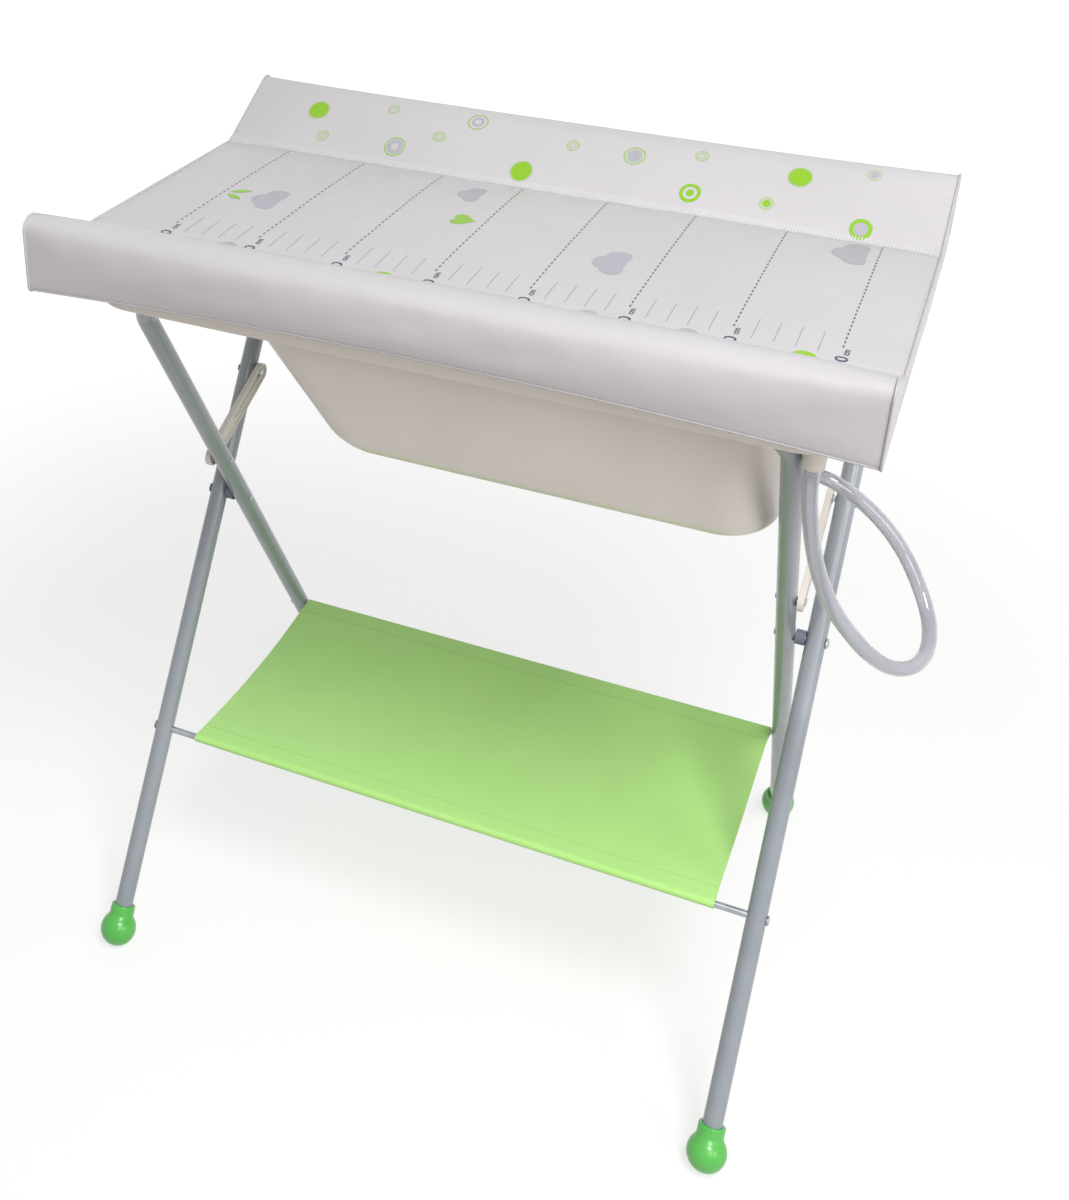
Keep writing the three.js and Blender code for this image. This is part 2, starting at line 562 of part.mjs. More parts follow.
// The hose leaves the drain level, bends down and outwards, and comes up from below into the holder.
const fromDrain = [[8.6, 0, 0], [16, 0, 0], [27, 0, -0.8], [38, 0, -3.2], [49, 0.2, -7.5], [63, 1, -15.2],
  [78, 2.5, -26], [94, 4, -40], [110, 4, -56.5], [125, -0.1, -74], [137.9, -8, -91], [149.3, -19.6, -106.7],
  [157.6, -35.8, -119.1]];
const fromHolder = [[126.2, 115.3, -229.1], [124.9, 95.5, -233.6], [118.8, 76.2, -234.1],
  [108.3, 58.5, -230.2], [93.4, 43.2, -220.9], [74.9, 31.7, -204], [57, 23.1, -181.8],
  [41, 16, -158.8], [25, 10, -127.8], [12, 5, -88.8], [4, 1.5, -50.8], [0.3, 0, -22.8], [0, 0, 0],
  [0, 0, holder.socketDepth - FIT]];
const hoseRoute = [
  ...fromDrain.map(([x, y, z]) => new THREE.Vector3(tub.rightWall + x, drain.y + y, drainHeight + z)),
  ...fromHolder.map(([x, y, z]) => new THREE.Vector3(holderX + x, holderY + y, holderMouth + z)),
];

function hoseTube() {
  return new THREE.ExtrudeGeometry(ringShape(hose.radius, hose.radius - hose.wall, hose.sides), {
    steps: hose.steps, bevelEnabled: false, extrudePath: new THREE.CatmullRomCurve3(hoseRoute, false, 'centripetal'),
  });
}

piece(group, 'drain_hose', hoseTube(), looks.hose());

// ---- changing mat ---------------------------------------------------------------------------------------------------
// Flat in the middle, with a raised wedge along each edge, on a stiff board. The front wedge droops past the rim.

function arcPoints(y, z, radius, fromDegrees, toDegrees, steps) {
  return Array.from({ length: steps + 1 }, (_, k) => {
    const angle = THREE.MathUtils.degToRad(fromDegrees + (toDegrees - fromDegrees) * k / steps);
    return [y + radius * Math.cos(angle), z + radius * Math.sin(angle)];
  });
}

// Half of the cross-section, from the middle of the underside out and over to the middle of the top.
function matHalf(bow, droop) {
  const low = matBottom + mat.edgeLift + bow - droop;
  const high = matSurface + mat.rise - droop;
  const edge = mat.halfDepth;
  return [[mat.flatUnderside, matBottom],
    ...arcPoints(edge - mat.edgeRound, low + mat.edgeRound, mat.edgeRound, -70, 0, 2),
    ...arcPoints(edge - mat.topRound, high - mat.topRound, mat.topRound, 0, 116, 5),
    [mat.seam + 6, matSurface + 2], [mat.seam - 8, matSurface]];
}

function matRing(x, taper) {
  const bow = mat.edgeBow * (1 - (x / mat.halfLength) ** 2);
  const middle = (matSurface + matBottom) / 2;
  const front = matHalf(bow, mat.frontDroop).map(([y, z]) => [-y, z]);
  const ring = [...matHalf(bow, 0), ...front.reverse()];
  return ring.map(([y, z]) => new THREE.Vector3(x, mat.centreY + y * (1 - taper / mat.halfDepth),
    z + Math.sign(middle - z) * Math.min(taper, Math.abs(middle - z))));
}

function matBody() {
  const spans = 10;
  const rings = [matRing(-mat.halfLength, mat.endTaper)];
  for (let k = 0; k <= spans; k++) rings.push(matRing((mat.halfLength - mat.endTaper) * (2 * k / spans - 1), 0));
  rings.push(matRing(mat.halfLength, mat.endTaper));
  return loft(rings);
}

piece(group, 'changing_mat', matBody(), looks.vinyl());

const boardRear = mat.centreY + board.halfDepth;
const boardRing = (z) => roundedRing(-board.halfLength, board.halfLength, mat.centreY - board.halfDepth, boardRear,
  board.cornerRadius, z, 4);
piece(group, 'mat_base_board', loft([boardRing(boardBottom), boardRing(boardTop)]), looks.board());

// ---- mat hinges -----------------------------------------------------------------------------------------------------
// Two ears on the rear of the rim hold a pin, and a leaf on the board's rear edge turns on it.

function hingeBracket(x) {
  const plateY = rimHalfDepth + FIT;
  const low = hingeZ - matHinge.drop;
  const ear = new THREE.Shape();
  ear.moveTo(plateY, low);
  ear.lineTo(plateY + matHinge.plate, low);
  ear.absarc(hingeY, hingeZ, matHinge.eyeRadius, -Math.PI / 6, Math.PI * 0.88);
  ear.lineTo(plateY, hingeZ - matHinge.eyeRadius);
  const hole = new THREE.Path();
  hole.absarc(hingeY, hingeZ, matHinge.pinRadius + FIT, 0, 2 * Math.PI, true);
  ear.holes.push(hole);
  const half = matHinge.width / 2 + FIT;
  const plate = new THREE.BoxGeometry(2 * half + 2, matHinge.plate, matHinge.drop - matHinge.eyeRadius - 2)
    .translate(x, plateY + matHinge.plate / 2, low + (matHinge.drop - matHinge.eyeRadius - 2) / 2);
  return join(plate, slabAlongX(ear, x - half - matHinge.earWidth, x - half),
    slabAlongX(ear, x + half, x + half + matHinge.earWidth));
}

function hingeLeaf(x) {
  const front = boardRear + FIT;
  const strip = new THREE.BoxGeometry(matHinge.width, hingeY - front, matHinge.leaf)
    .translate(x, (hingeY + front) / 2, hingeZ + matHinge.leaf / 2);
  const half = matHinge.width / 2;
  const eye = rodAlongX(matHinge.eyeRadius, x - half, x + half, hingeY, hingeZ);
  return cut(join(strip, eye), rodAlongX(matHinge.pinRadius + FIT, x - half - 1, x + half + 1, hingeY, hingeZ, 12));
}

for (const [name, side] of sides) {
  const x = side * matHinge.x;
  const pinEnd = matHinge.width / 2 + matHinge.earWidth + 1.5;
  piece(group, `mat_hinge_bracket_${name}`, hingeBracket(x), looks.creamPlastic());
  piece(group, `mat_hinge_leaf_${name}`, hingeLeaf(x), looks.creamPlastic());
  piece(group, `mat_hinge_pin_${name}`, rodAlongX(matHinge.pinRadius, x - pinEnd, x + pinEnd, hingeY, hingeZ, 12),
    looks.steel());
}

export default group;
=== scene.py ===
# Folding changing table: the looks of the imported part.
# Lengths in the code are millimetres unless it says metres, and objects are in metres.
from contextlib import contextmanager
from math import asin, cos, degrees, hypot, pi, radians, sin, sqrt

import bmesh
import bpy
import numpy as np
from mathutils import Matrix, Vector
from mathutils.bvhtree import BVHTree


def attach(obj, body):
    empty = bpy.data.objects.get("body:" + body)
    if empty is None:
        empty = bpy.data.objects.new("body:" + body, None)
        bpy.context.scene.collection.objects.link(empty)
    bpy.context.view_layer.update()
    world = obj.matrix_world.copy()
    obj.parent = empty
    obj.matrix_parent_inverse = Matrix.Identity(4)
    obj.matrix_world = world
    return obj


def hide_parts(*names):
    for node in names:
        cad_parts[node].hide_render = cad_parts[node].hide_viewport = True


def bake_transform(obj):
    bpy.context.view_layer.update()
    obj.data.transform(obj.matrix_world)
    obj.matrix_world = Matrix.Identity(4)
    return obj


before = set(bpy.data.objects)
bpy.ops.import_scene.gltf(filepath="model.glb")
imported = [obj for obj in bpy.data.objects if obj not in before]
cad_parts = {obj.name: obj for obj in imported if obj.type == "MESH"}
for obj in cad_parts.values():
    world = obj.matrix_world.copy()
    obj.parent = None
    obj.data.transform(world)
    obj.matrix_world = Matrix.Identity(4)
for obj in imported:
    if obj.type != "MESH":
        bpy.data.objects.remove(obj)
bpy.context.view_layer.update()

MM = 0.001
scene = bpy.context.scene
scene.view_settings.view_transform = "Standard"


def placed(name, data):
    """A new object in the scene."""
    made = bpy.data.objects.new(name, data)
    scene.collection.objects.link(made)
    return made


# ---- sizes that the part's source also uses ----

GAP = 0.3  # between pieces that touch
LEG_ANGLE = radians(31)
PIVOT_Z = 505.0
BAR_DISTANCE, ROD_DISTANCE = 425.0, 308.0  # from the pivot, along the leg
TUBE_R, TUBE_WALL, BEND_R = 11.0, 1.2, 45.0
LEG_X = {"outer": 374.5, "inner": 341.0}
ROD_R, CAP_HEIGHT = 4.0, 1.6
BALL_R, SOLE_R = 22.0, 7.5
FOOT_DISTANCE = (PIVOT_Z - sqrt(BALL_R ** 2 - SOLE_R ** 2)) / cos(LEG_ANGLE)
COLLAR_R, COLLAR_TOP = 15, 30
TUBE_IN_FOOT, PLUG_R, PLUG_TOP = 38, 8.6, 24
WALL = 2.8
FLANGE_Z = PIVOT_Z + BAR_DISTANCE * cos(LEG_ANGLE) + TUBE_R + GAP
RIM_TOP = FLANGE_Z + WALL
SKIRT_Z = RIM_TOP - 25
TUB_Z = FLANGE_Z - 191.6
DRAIN = (326, -40, TUB_Z + 44)
HOLDER_X, HOLDER_Y = 361, -210
MOUTH_Z = FLANGE_Z - GAP - 45.5
HOSE_R, HOSE_BORE_R = 7.5, 6.2
BOARD_THICK = 5
MAT_Z = RIM_TOP + GAP + BOARD_THICK + GAP
MAT_TOP = MAT_Z + 34
MAT_HALF_X, MAT_HALF_Y, MAT_MID_Y = 423.0, 270.0, -20.0
SEAM = 153  # from the mat's middle line to each seam
WEDGE_HIGH, CREST_R, FRONT_DROOP = 56.5, 14, 13.0
HEEL_HIGH, HEEL_R, HEEL_BOW, BASE_HALF_Y = 9, 6, 12, 223

# ---- camera ----

camera = placed("camera", bpy.data.cameras.new("camera"))
camera.location = (0.476, -1.4576, 1.525)
camera.rotation_euler = (1.11, -0.0157, 0.4175)
camera.data.lens, camera.data.sensor_width = 45.92, 36
camera.data.shift_x, camera.data.shift_y = 0.13, -0.20
scene.camera = camera


# ---- materials ----

def linear(code):
    """A hex colour as the linear numbers that the shader takes."""
    values = [int(code[i:i + 2], 16) / 255 for i in (1, 3, 5)]
    return (*[v / 12.92 if v <= 0.04045 else ((v + 0.055) / 1.055) ** 2.4 for v in values], 1)


def filled(node, **values):
    """Sets a node's inputs, where _ stands for a space in a name, and returns the node."""
    for socket, value in values.items():
        node.inputs[socket.replace("_", " ")].default_value = value
    return node


class Surface:
    """A Principled material with colour, roughness and relief from noise in the part's frame.

    Scales are per metre, depths in millimetres. A roughness that varies never crosses 0.27,
    because the denoiser draws an edge where it does.
    """

    def __init__(self, name, **fixed):
        self.material = bpy.data.materials.new(name)
        self.material.use_nodes = True
        self.tree = self.material.node_tree
        self.shader = self.tree.nodes["Principled BSDF"]
        self.place = self.node("ShaderNodeTexCoord").outputs["Object"]
        self.normal = None
        filled(self.shader, **fixed)

    def node(self, kind, **settings):
        made = self.tree.nodes.new(kind)
        for key, value in settings.items():
            setattr(made, key, value)
        return made

    def link(self, source, target):
        self.tree.links.new(source, target)

    def noise(self, scale, detail, stretch=(1, 1, 1)):
        mapping = filled(self.node("ShaderNodeMapping"), Scale=stretch)
        made = filled(self.node("ShaderNodeTexNoise"), Scale=scale, Detail=detail)
        self.link(self.place, mapping.inputs["Vector"])
        self.link(mapping.outputs["Vector"], made.inputs["Vector"])
        return made.outputs["Fac"]

    def cells(self, scale):
        made = filled(self.node("ShaderNodeTexVoronoi", feature="SMOOTH_F1"), Scale=scale)
        self.link(self.place, made.inputs["Vector"])
        return made.outputs["Distance"]

    def waves(self, scale, axis):
        made = self.node("ShaderNodeTexWave", bands_direction=axis, wave_profile="SIN")
        filled(made, Scale=scale, Distortion=0.4, Detail_Scale=2)
        self.link(self.place, made.inputs["Vector"])
        return made.outputs["Fac"]

    def spread(self, fac, low, high):
        """Takes 0.3 to 0.7, where most of a noise lies, to low to high."""
        made = self.node("ShaderNodeMapRange")
        filled(made, From_Min=0.3, From_Max=0.7, To_Min=low, To_Max=high)
        self.link(fac, made.inputs["Value"])
        return made.outputs["Result"]

    def colour(self, fac, low, high):
        mix = filled(self.node("ShaderNodeMix", data_type="RGBA"), A=linear(low), B=linear(high))
        self.link(self.spread(fac, 0, 1), mix.inputs["Factor"])
        self.link(mix.outputs["Result"], self.shader.inputs["Base Color"])
        return mix.outputs["Result"]

    def roughness(self, fac, low, high):
        self.link(self.spread(fac, low, high), self.shader.inputs["Roughness"])

    def relief(self, height, depth, strength=1.0):
        """Bump on top of the bump that is there already."""
        bump = filled(self.node("ShaderNodeBump"), Distance=depth * MM, Strength=strength)
        self.link(height, bump.inputs["Height"])
        if self.normal is not None:
            self.link(self.normal, bump.inputs["Normal"])
        self.normal = bump.outputs["Normal"]
        self.link(self.normal, self.shader.inputs["Normal"])

    def multiply(self, a, b):
        made = self.node("ShaderNodeMath", operation="MULTIPLY")
        self.link(a, made.inputs[0])
        self.link(b, made.inputs[1])
        return made.outputs[0]


def moulded(name, low, high, rough, **fixed):
    s = Surface(name, **fixed)
    s.colour(s.noise(9, 4), low, high)
    s.roughness(s.noise(45, 5), *rough)
    s.relief(s.noise(240, 2), 0.01)
    s.relief(s.noise(9, 1), 0.25)
    return s.material


def painted(name):
    s = Surface(name, Coat_Weight=0.5, Coat_Roughness=0.12)
    s.colour(s.noise(12, 3), "#8F979F", "#9AA2AA")
    s.roughness(s.noise(60, 4), 0.29, 0.38)
    s.relief(s.noise(700, 2), 0.006)
    return s.material


def drawn_steel(name, low, high):
    """Steel whose marks run along X."""
    s = Surface(name, Metallic=1.0)
    s.colour(s.noise(60, 4), low, high)
    s.roughness(s.noise(300, 4, (0.15, 1, 1)), 0.29, 0.42)
    s.relief(s.noise(900, 3, (0.1, 1, 1)), 0.015)
    return s.material


def rubber(name):
    s = Surface(name)
    s.colour(s.noise(150, 4), "#4B4D50", "#595B5F")
    s.roughness(s.noise(200, 3), 0.7, 0.9)
    s.relief(s.noise(1500, 2), 0.02)
    return s.material


def woven(name):
    """Cloth of crossed threads, with painted shade that makes it a little darker between them."""
    s = Surface(name, Sheen_Weight=0.4, Sheen_Roughness=0.5)
    green = s.colour(s.noise(5, 4), "#BDF78C", "#C3FA94")
    threads = s.multiply(s.waves(330, "X"), s.waves(330, "Y"))
    # painted shade: the colour is multiplied down a little in the gaps between the threads
    painted_gap_shade = s.node("ShaderNodeMix", data_type="RGBA")
    filled(painted_gap_shade, A=(0.93, 0.94, 0.92, 1), B=(1, 1, 1, 1))
    s.link(threads, painted_gap_shade.inputs["Factor"])
    shaded = filled(s.node("ShaderNodeMix", data_type="RGBA", blend_type="MULTIPLY"), Factor=1)
    s.link(green, shaded.inputs["A"])
    s.link(painted_gap_shade.outputs["Result"], shaded.inputs["B"])
    s.link(shaded.outputs["Result"], s.shader.inputs["Base Color"])
    s.roughness(s.noise(300, 3), 0.62, 0.8)
    s.relief(threads, 0.12)
    return s.material


FILM_GRAIN = 620  # cells per metre in the mat's film, also under its prints


def vinyl(name, low, high, rough=(0.3, 0.44)):
    s = Surface(name, Coat_Weight=0.15, Coat_Roughness=0.3)
    s.colour(s.noise(4, 4), low, high)
    s.roughness(s.noise(60, 5), *rough)
    s.relief(s.cells(FILM_GRAIN), 0.05)
    s.relief(s.noise(70, 4), 0.3, 0.6)
    return s.material


def ink(name, low, high):
    s = Surface(name)
    s.colour(s.noise(260, 3), low, high)
    s.roughness(s.noise(200, 3), 0.3, 0.42)
    s.relief(s.cells(FILM_GRAIN), 0.04)
    return s.material


def clear_hose(name):
    s = Surface(name, Transmission_Weight=0.82, IOR=1.38, Coat_Weight=0.6, Coat_Roughness=0.05)
    s.colour(s.noise(30, 3), "#D6D7DD", "#E0E1E6")
    s.roughness(s.noise(60, 3), 0.08, 0.15)
    s.relief(s.noise(90, 2), 0.03)
    return s.material


LOOK = {
    "frame_tube": painted("tube_paint"),
    "foot_plastic": moulded("green_plastic", "#53BB4B", "#5FC757", (0.29, 0.37),
                            Coat_Weight=0.3, Coat_Roughness=0.15),
    "rod_steel": drawn_steel("rod_steel", "#9FA3A8", "#B8BBBE"),
    "fastener_steel": drawn_steel("zinc_steel", "#A3A6A8", "#C2C4C6"),
    "spacer_plastic": moulded("grey_plastic", "#6F7284", "#7A7D8F", (0.42, 0.55)),
    "shelf_cloth": woven("green_cloth"),
    "bath_plastic": moulded("cream_plastic", "#EBE6DE", "#F1ECE6", (0.29, 0.37),
                            Coat_Weight=0.2, Coat_Roughness=0.2),
    "fitting_plastic": moulded("cream_fitting", "#E6E1DA", "#EDE9E2", (0.3, 0.4)),
    "seal_rubber": rubber("seal_rubber"),
    "hose_plastic": clear_hose("hose_plastic"),
    "mat_vinyl": vinyl("mat_vinyl", "#C4C2C4", "#CAC8CA"),
    "base_board": vinyl("board_film", "#D6D3D0", "#DDDBD8", (0.45, 0.6)),
}


# ---- mesh building ----

WELD = 2e-6  # metres: closer points become one


@contextmanager
def edited(mesh):
    """The mesh as a bmesh, written back when the with block ends."""
    bm = bmesh.new()
    bm.from_mesh(mesh)
    yield bm
    bm.to_mesh(mesh)
    bm.free()


def raw(name, verts, faces):
    """An object from vertices in millimetres."""
    mesh = bpy.data.meshes.new(name)
    mesh.from_pydata([tuple(v) for v in np.asarray(verts, float) * MM], [],
                     [tuple(f) for f in faces])
    return placed(name, mesh)


def tidy(piece, angle=32, weld=True):
    """Joins points, turns faces outwards and smooths all edges that are less sharp than angle."""
    with edited(piece.data) as bm:
        if weld:
            bmesh.ops.remove_doubles(bm, verts=bm.verts, dist=WELD)
        bmesh.ops.recalc_face_normals(bm, faces=bm.faces)
    piece.data.shade_smooth()
    piece.data.set_sharp_from_angle(angle=radians(angle))


def make(name, verts, faces, body=None, slot=None, look=None, angle=32, weld=True):
    """A shown piece from vertices in millimetres."""
    piece = raw(name, verts, faces)
    tidy(piece, angle, weld)
    piece.data.materials.append(look or LOOK[slot])
    if body:
        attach(piece, body)
    return piece


def mesh_now(piece):
    """The piece's mesh as it stands after its modifiers."""
    bpy.context.view_layer.update()
    ready = piece.evaluated_get(bpy.context.evaluated_depsgraph_get())
    return bpy.data.meshes.new_from_object(ready)


def applied(piece):
    """The piece's modifiers become its mesh."""
    old, piece.data = piece.data, mesh_now(piece)
    piece.modifiers.clear()
    bpy.data.meshes.remove(old)


def weighted(piece):
    piece.modifiers.new("normals", "WEIGHTED_NORMAL").keep_sharp = True
    applied(piece)


def strip(rings, closed_ring=True):
    """Quads between neighbouring rings of points; returns the points and faces."""
    count = len(rings[0])
    faces = []
    for r in range(len(rings) - 1):
        for i in range(count if closed_ring else count - 1):
            j = (i + 1) % count
            faces.append((r * count + i, r * count + j, (r + 1) * count + j, (r + 1) * count + i))
    return np.concatenate([np.asarray(r, float) for r in rings]), faces


def loft(rings):
    """A closed body through rings of points."""
    verts, faces = strip(rings)
    count, last = len(rings[0]), (len(rings) - 1) * len(rings[0])
    faces.append(tuple(range(count))[::-1])
    faces.append(tuple(range(last, last + count)))
    return verts, faces


def sweep(path, radius, sides, bore=None):
    """A round tube along a path, hollow if it has a bore."""
    path = np.asarray(path, float)
    tangent = np.gradient(path, axis=0)
    tangent /= np.linalg.norm(tangent, axis=1)[:, None]
    up = np.cross(tangent[0], [0.3, 0.5, 0.8])  # a direction that no path starts in
    frames = []
    for t in tangent:
        up = up - t * up.dot(t)
        up /= np.linalg.norm(up)
        frames.append((up.copy(), np.cross(t, up)))
    turn = np.linspace(0, 2 * pi, sides, endpoint=False)

    def rings(r):
        return [p + r * (np.cos(turn)[:, None] * u + np.sin(turn)[:, None] * v)
                for p, (u, v) in zip(path, frames)]

    if bore is None:
        return loft(rings(radius))
    wall = rings(radius) + rings(bore)[::-1]
    return strip(wall + wall[:1])


def turned(profile, matrix, sides):
    """A body turned about the local Z axis from [radius, height] points, axis to axis."""
    verts, faces, rows = [], [], []
    for radius, height in profile:
        count = sides if radius else 1
        rows.append(range(len(verts), len(verts) + count))
        for a in (2 * pi * k / sides for k in range(count)):
            verts.append((radius * cos(a), radius * sin(a), height))
    for low, high in zip(rows, rows[1:]):
        for k in range(sides):
            j = (k + 1) % sides
            face = [low[k % len(low)], low[j % len(low)], high[j % len(high)], high[k % len(high)]]
            face = list(dict.fromkeys(face))
            if len(face) > 2:
                faces.append(face)
    return np.array([matrix @ Vector(v) for v in verts]), faces


def arc(cx, cy, radius, start, end, steps):
    """Points of an arc, its ends in degrees."""
    return [(cx + radius * cos(radians(a)), cy + radius * sin(radians(a)))
            for a in np.linspace(start, end, steps + 1)]


def lerped(a, b, steps):
    """Points from a to b, without a."""
    return [(a[0] + (b[0] - a[0]) * k / steps, a[1] + (b[1] - a[1]) * k / steps)
            for k in range(1, steps + 1)]


def dress(name, body, slot="fastener_steel", bevel=0.35):
    """Stands for a small CAD node: flat faces joined, edges rounded and curves smooth."""
    edge = 35  # degrees from which an edge is rounded and kept sharp
    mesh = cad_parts[name].data.copy()
    mesh.materials.clear()
    piece = placed(name + "_look", mesh)
    with edited(mesh) as bm:
        bmesh.ops.remove_doubles(bm, verts=bm.verts, dist=WELD)
        bmesh.ops.dissolve_limit(bm, angle_limit=radians(1), verts=bm.verts, edges=bm.edges)
    for extra in ("custom_normal", "sharp_face", "sharp_edge"):
        if extra in mesh.attributes:
            mesh.attributes.remove(mesh.attributes[extra])
    rounder = piece.modifiers.new("edges", "BEVEL")
    rounder.width, rounder.segments = bevel * MM, 2
    rounder.limit_method, rounder.angle_limit = "ANGLE", radians(edge)
    applied(piece)
    tidy(piece, edge)
    piece.data.materials.append(LOOK[slot])
    weighted(piece)
    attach(piece, body)
    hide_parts(name)


# ---- hose ----

PER_SPAN = 8  # curve points from one point of the route to the next


def through(points):
    """Centripetal Catmull-Rom curve, as the source's hose."""
    p = [np.array(q, float) for q in points]
    p = [2 * p[0] - p[1]] + p + [2 * p[-1] - p[-2]]
    out = []
    for p0, p1, p2, p3 in zip(p, p[1:], p[2:], p[3:]):
        d0, d1, d2 = (np.linalg.norm(b - a) ** 0.5 for a, b in ((p0, p1), (p1, p2), (p2, p3)))
        t1 = ((p1 - p0) / d0 - (p2 - p0) / (d0 + d1) + (p2 - p1) / d1) * d1
        t2 = ((p2 - p1) / d1 - (p3 - p1) / (d1 + d2) + (p3 - p2) / d2) * d1
        for t in np.linspace(0, 1, PER_SPAN, endpoint=False):
            out.append((2 * t ** 3 - 3 * t ** 2 + 1) * p1 + (t ** 3 - 2 * t ** 2 + t) * t1
                       + (3 * t ** 2 - 2 * t ** 3) * p2 + (t ** 3 - t ** 2) * t2)
    return np.array(out + [p[-2]])


FROM_DRAIN = [[8.6, 0, 0], [16, 0, 0], [27, 0, -0.8], [38, 0, -3.2], [49, 0.2, -7.5],
              [63, 1, -15.2], [78, 2.5, -26], [94, 4, -40], [110, 4, -56.5], [125, -0.1, -74],
              [137.9, -8, -91], [149.3, -19.6, -106.7], [157.6, -35.8, -119.1]]
FROM_HOLDER = [[126.2, 115.3, -229.1], [124.9, 95.5, -233.6], [118.8, 76.2, -234.1],
               [108.3, 58.5, -230.2], [93.4, 43.2, -220.9], [74.9, 31.7, -204],
               [57, 23.1, -181.8], [41, 16, -158.8], [25, 10, -127.8], [12, 5, -88.8],
               [4, 1.5, -50.8], [0.3, 0, -22.8], [0, 0, 0], [0, 0, 13.7]]
route = through([np.add(DRAIN, p) for p in FROM_DRAIN]
                + [np.add((HOLDER_X, HOLDER_Y, MOUTH_Z), p) for p in FROM_HOLDER])
hose = make("hose_look", *sweep(route, HOSE_R, 40, HOSE_BORE_R), "bath", "hose_plastic", angle=60)
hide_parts("drain_hose")


# ---- crossed frames ----

PIVOT = Matrix.Translation((0, 0, PIVOT_Z))
LEAN = {"outer": PIVOT @ Matrix.Rotation(-LEG_ANGLE, 4, "X"),
        "inner": PIVOT @ Matrix.Rotation(LEG_ANGLE, 4, "X")}
END = {"outer": "front", "inner": "rear"}
ALONG_X = Matrix.Rotation(pi / 2, 4, "Y")  # lays a turned body's axis along X
NECK_ROUND, NECK_Z, COLLAR_ROUND = 1.6, 18.4, 1.5


def bent_tube(which):
    x, reach = LEG_X[which], FOOT_DISTANCE - COLLAR_TOP + TUBE_IN_FOOT
    bend = [(-x + BEND_R * (1 - cos(a)), BAR_DISTANCE - BEND_R * (1 - sin(a)))
            for a in np.linspace(0, pi / 2, 19)]
    half = [(-x, -reach), (-x, -200), (-x, 150), (-x, BAR_DISTANCE - BEND_R - 1)] + bend
    flat = half + [(-px, pz) for px, pz in reversed(half)]
    path = [LEAN[which] @ Vector((px, 0, pz)) for px, pz in flat]
    tube = sweep(path, TUBE_R, 48, TUBE_R - TUBE_WALL)
    piece = make(f"{which}_tube_look", *tube, f"{which}_frame", "frame_tube")
    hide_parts(f"{which}_frame_tube")


def ball_foot(which, side, side_name):
    """Ball, neck and collar with a socket and a plug for the tube, cut flat where it stands."""
    neck = degrees(asin(sqrt(BALL_R ** 2 - COLLAR_R ** 2) / BALL_R))
    socket_r, socket_z = TUBE_R + GAP, COLLAR_TOP - TUBE_IN_FOOT - GAP
    profile = [(0, -BALL_R)] + arc(0, 0, BALL_R, -88, neck - 4, 26)
    profile += arc(COLLAR_R + NECK_ROUND, NECK_Z, NECK_ROUND, 215, 180, 3)
    profile += [(COLLAR_R, COLLAR_TOP - 3)]
    profile += arc(COLLAR_R - COLLAR_ROUND, COLLAR_TOP - COLLAR_ROUND, COLLAR_ROUND, 0, 90, 4)
    profile += [(socket_r + GAP, COLLAR_TOP), (socket_r, COLLAR_TOP - GAP), (socket_r, socket_z),
                (PLUG_R, socket_z), (PLUG_R, PLUG_TOP), (0, PLUG_TOP)]
    place = LEAN[which] @ Matrix.Translation((side * LEG_X[which], 0, -FOOT_DISTANCE))
    name = f"foot_{END[which]}_{side_name}"
    piece = make(name + "_look", *turned(profile, place, 56), f"{which}_frame", "foot_plastic")
    with edited(piece.data) as bm:
        bmesh.ops.bisect_plane(bm, geom=bm.verts[:] + bm.edges[:] + bm.faces[:],
                               plane_co=(0, 0, 0), plane_no=(0, 0, -1), clear_outer=True)
        bmesh.ops.holes_fill(bm, edges=[e for e in bm.edges if e.is_boundary])
    tidy(piece)
    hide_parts(name)


def shelf_rod(which):
    end, bevel = LEG_X[which] + TUBE_R + CAP_HEIGHT, 0.4
    profile = [(0, -end), (ROD_R - bevel, -end), (ROD_R, -end + bevel),
               (ROD_R, end - bevel), (ROD_R - bevel, end), (0, end)]
    place = LEAN[which] @ Matrix.Translation((0, 0, -ROD_DISTANCE)) @ ALONG_X
    name = f"shelf_rod_{END[which]}"
    piece = make(name + "_look", *turned(profile, place, 28), f"{which}_frame", "rod_steel")
    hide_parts(name)


for which in ("outer", "inner"):
    bent_tube(which)
    shelf_rod(which)
    for side_name, side in (("left", -1), ("right", 1)):
        ball_foot(which, side, side_name)
for side_name in ("left", "right"):
    dress(f"rod_cap_front_{side_name}", "outer_frame")
    dress(f"rod_cap_rear_{side_name}", "inner_frame")
    dress(f"pivot_rivet_{side_name}", "outer_frame")
    dress(f"pivot_spacer_{side_name}", "outer_frame", "spacer_plastic", 0.6)
    dress(f"link_bolt_outer_{side_name}", "outer_frame")
    dress(f"link_bolt_inner_{side_name}", "inner_frame")
    dress(f"link_{side_name}", f"link_{side_name}", "fitting_plastic", 0.5)
    dress(f"link_pin_{side_name}", f"link_pin_{side_name}")


# ---- bath ----

RIM_HALF_X, RIM_HALF_Y, RIM_CORNER, RIM_ROUND = 392, 236, 50, 4
SKIRT_WALL, SKIRT_BEVEL = 2.6, 0.8
TUB_HEAD_X, TUB_HEAD_LEAN = -160, 132.4  # the head end's foot, and how far it leans out
TUB_HALF_Y, TUB_FLARE, TUB_CORNER, TUB_ROUND = 143, 32, 60, 24
MOUTH_ROUND, MOUTH_FLARE = 8, 7.6  # how far down the lip's curve starts, and how far it opens
TRAY_X, TRAYS_Y, TRAY_HALF_X, TRAY_HALF_Y = -344, (-75, 75), 31, 59
TRAY_DEPTH, TRAY_CORNER, TRAY_ROUND = 9, 16, 4
DRAIN_R = 8


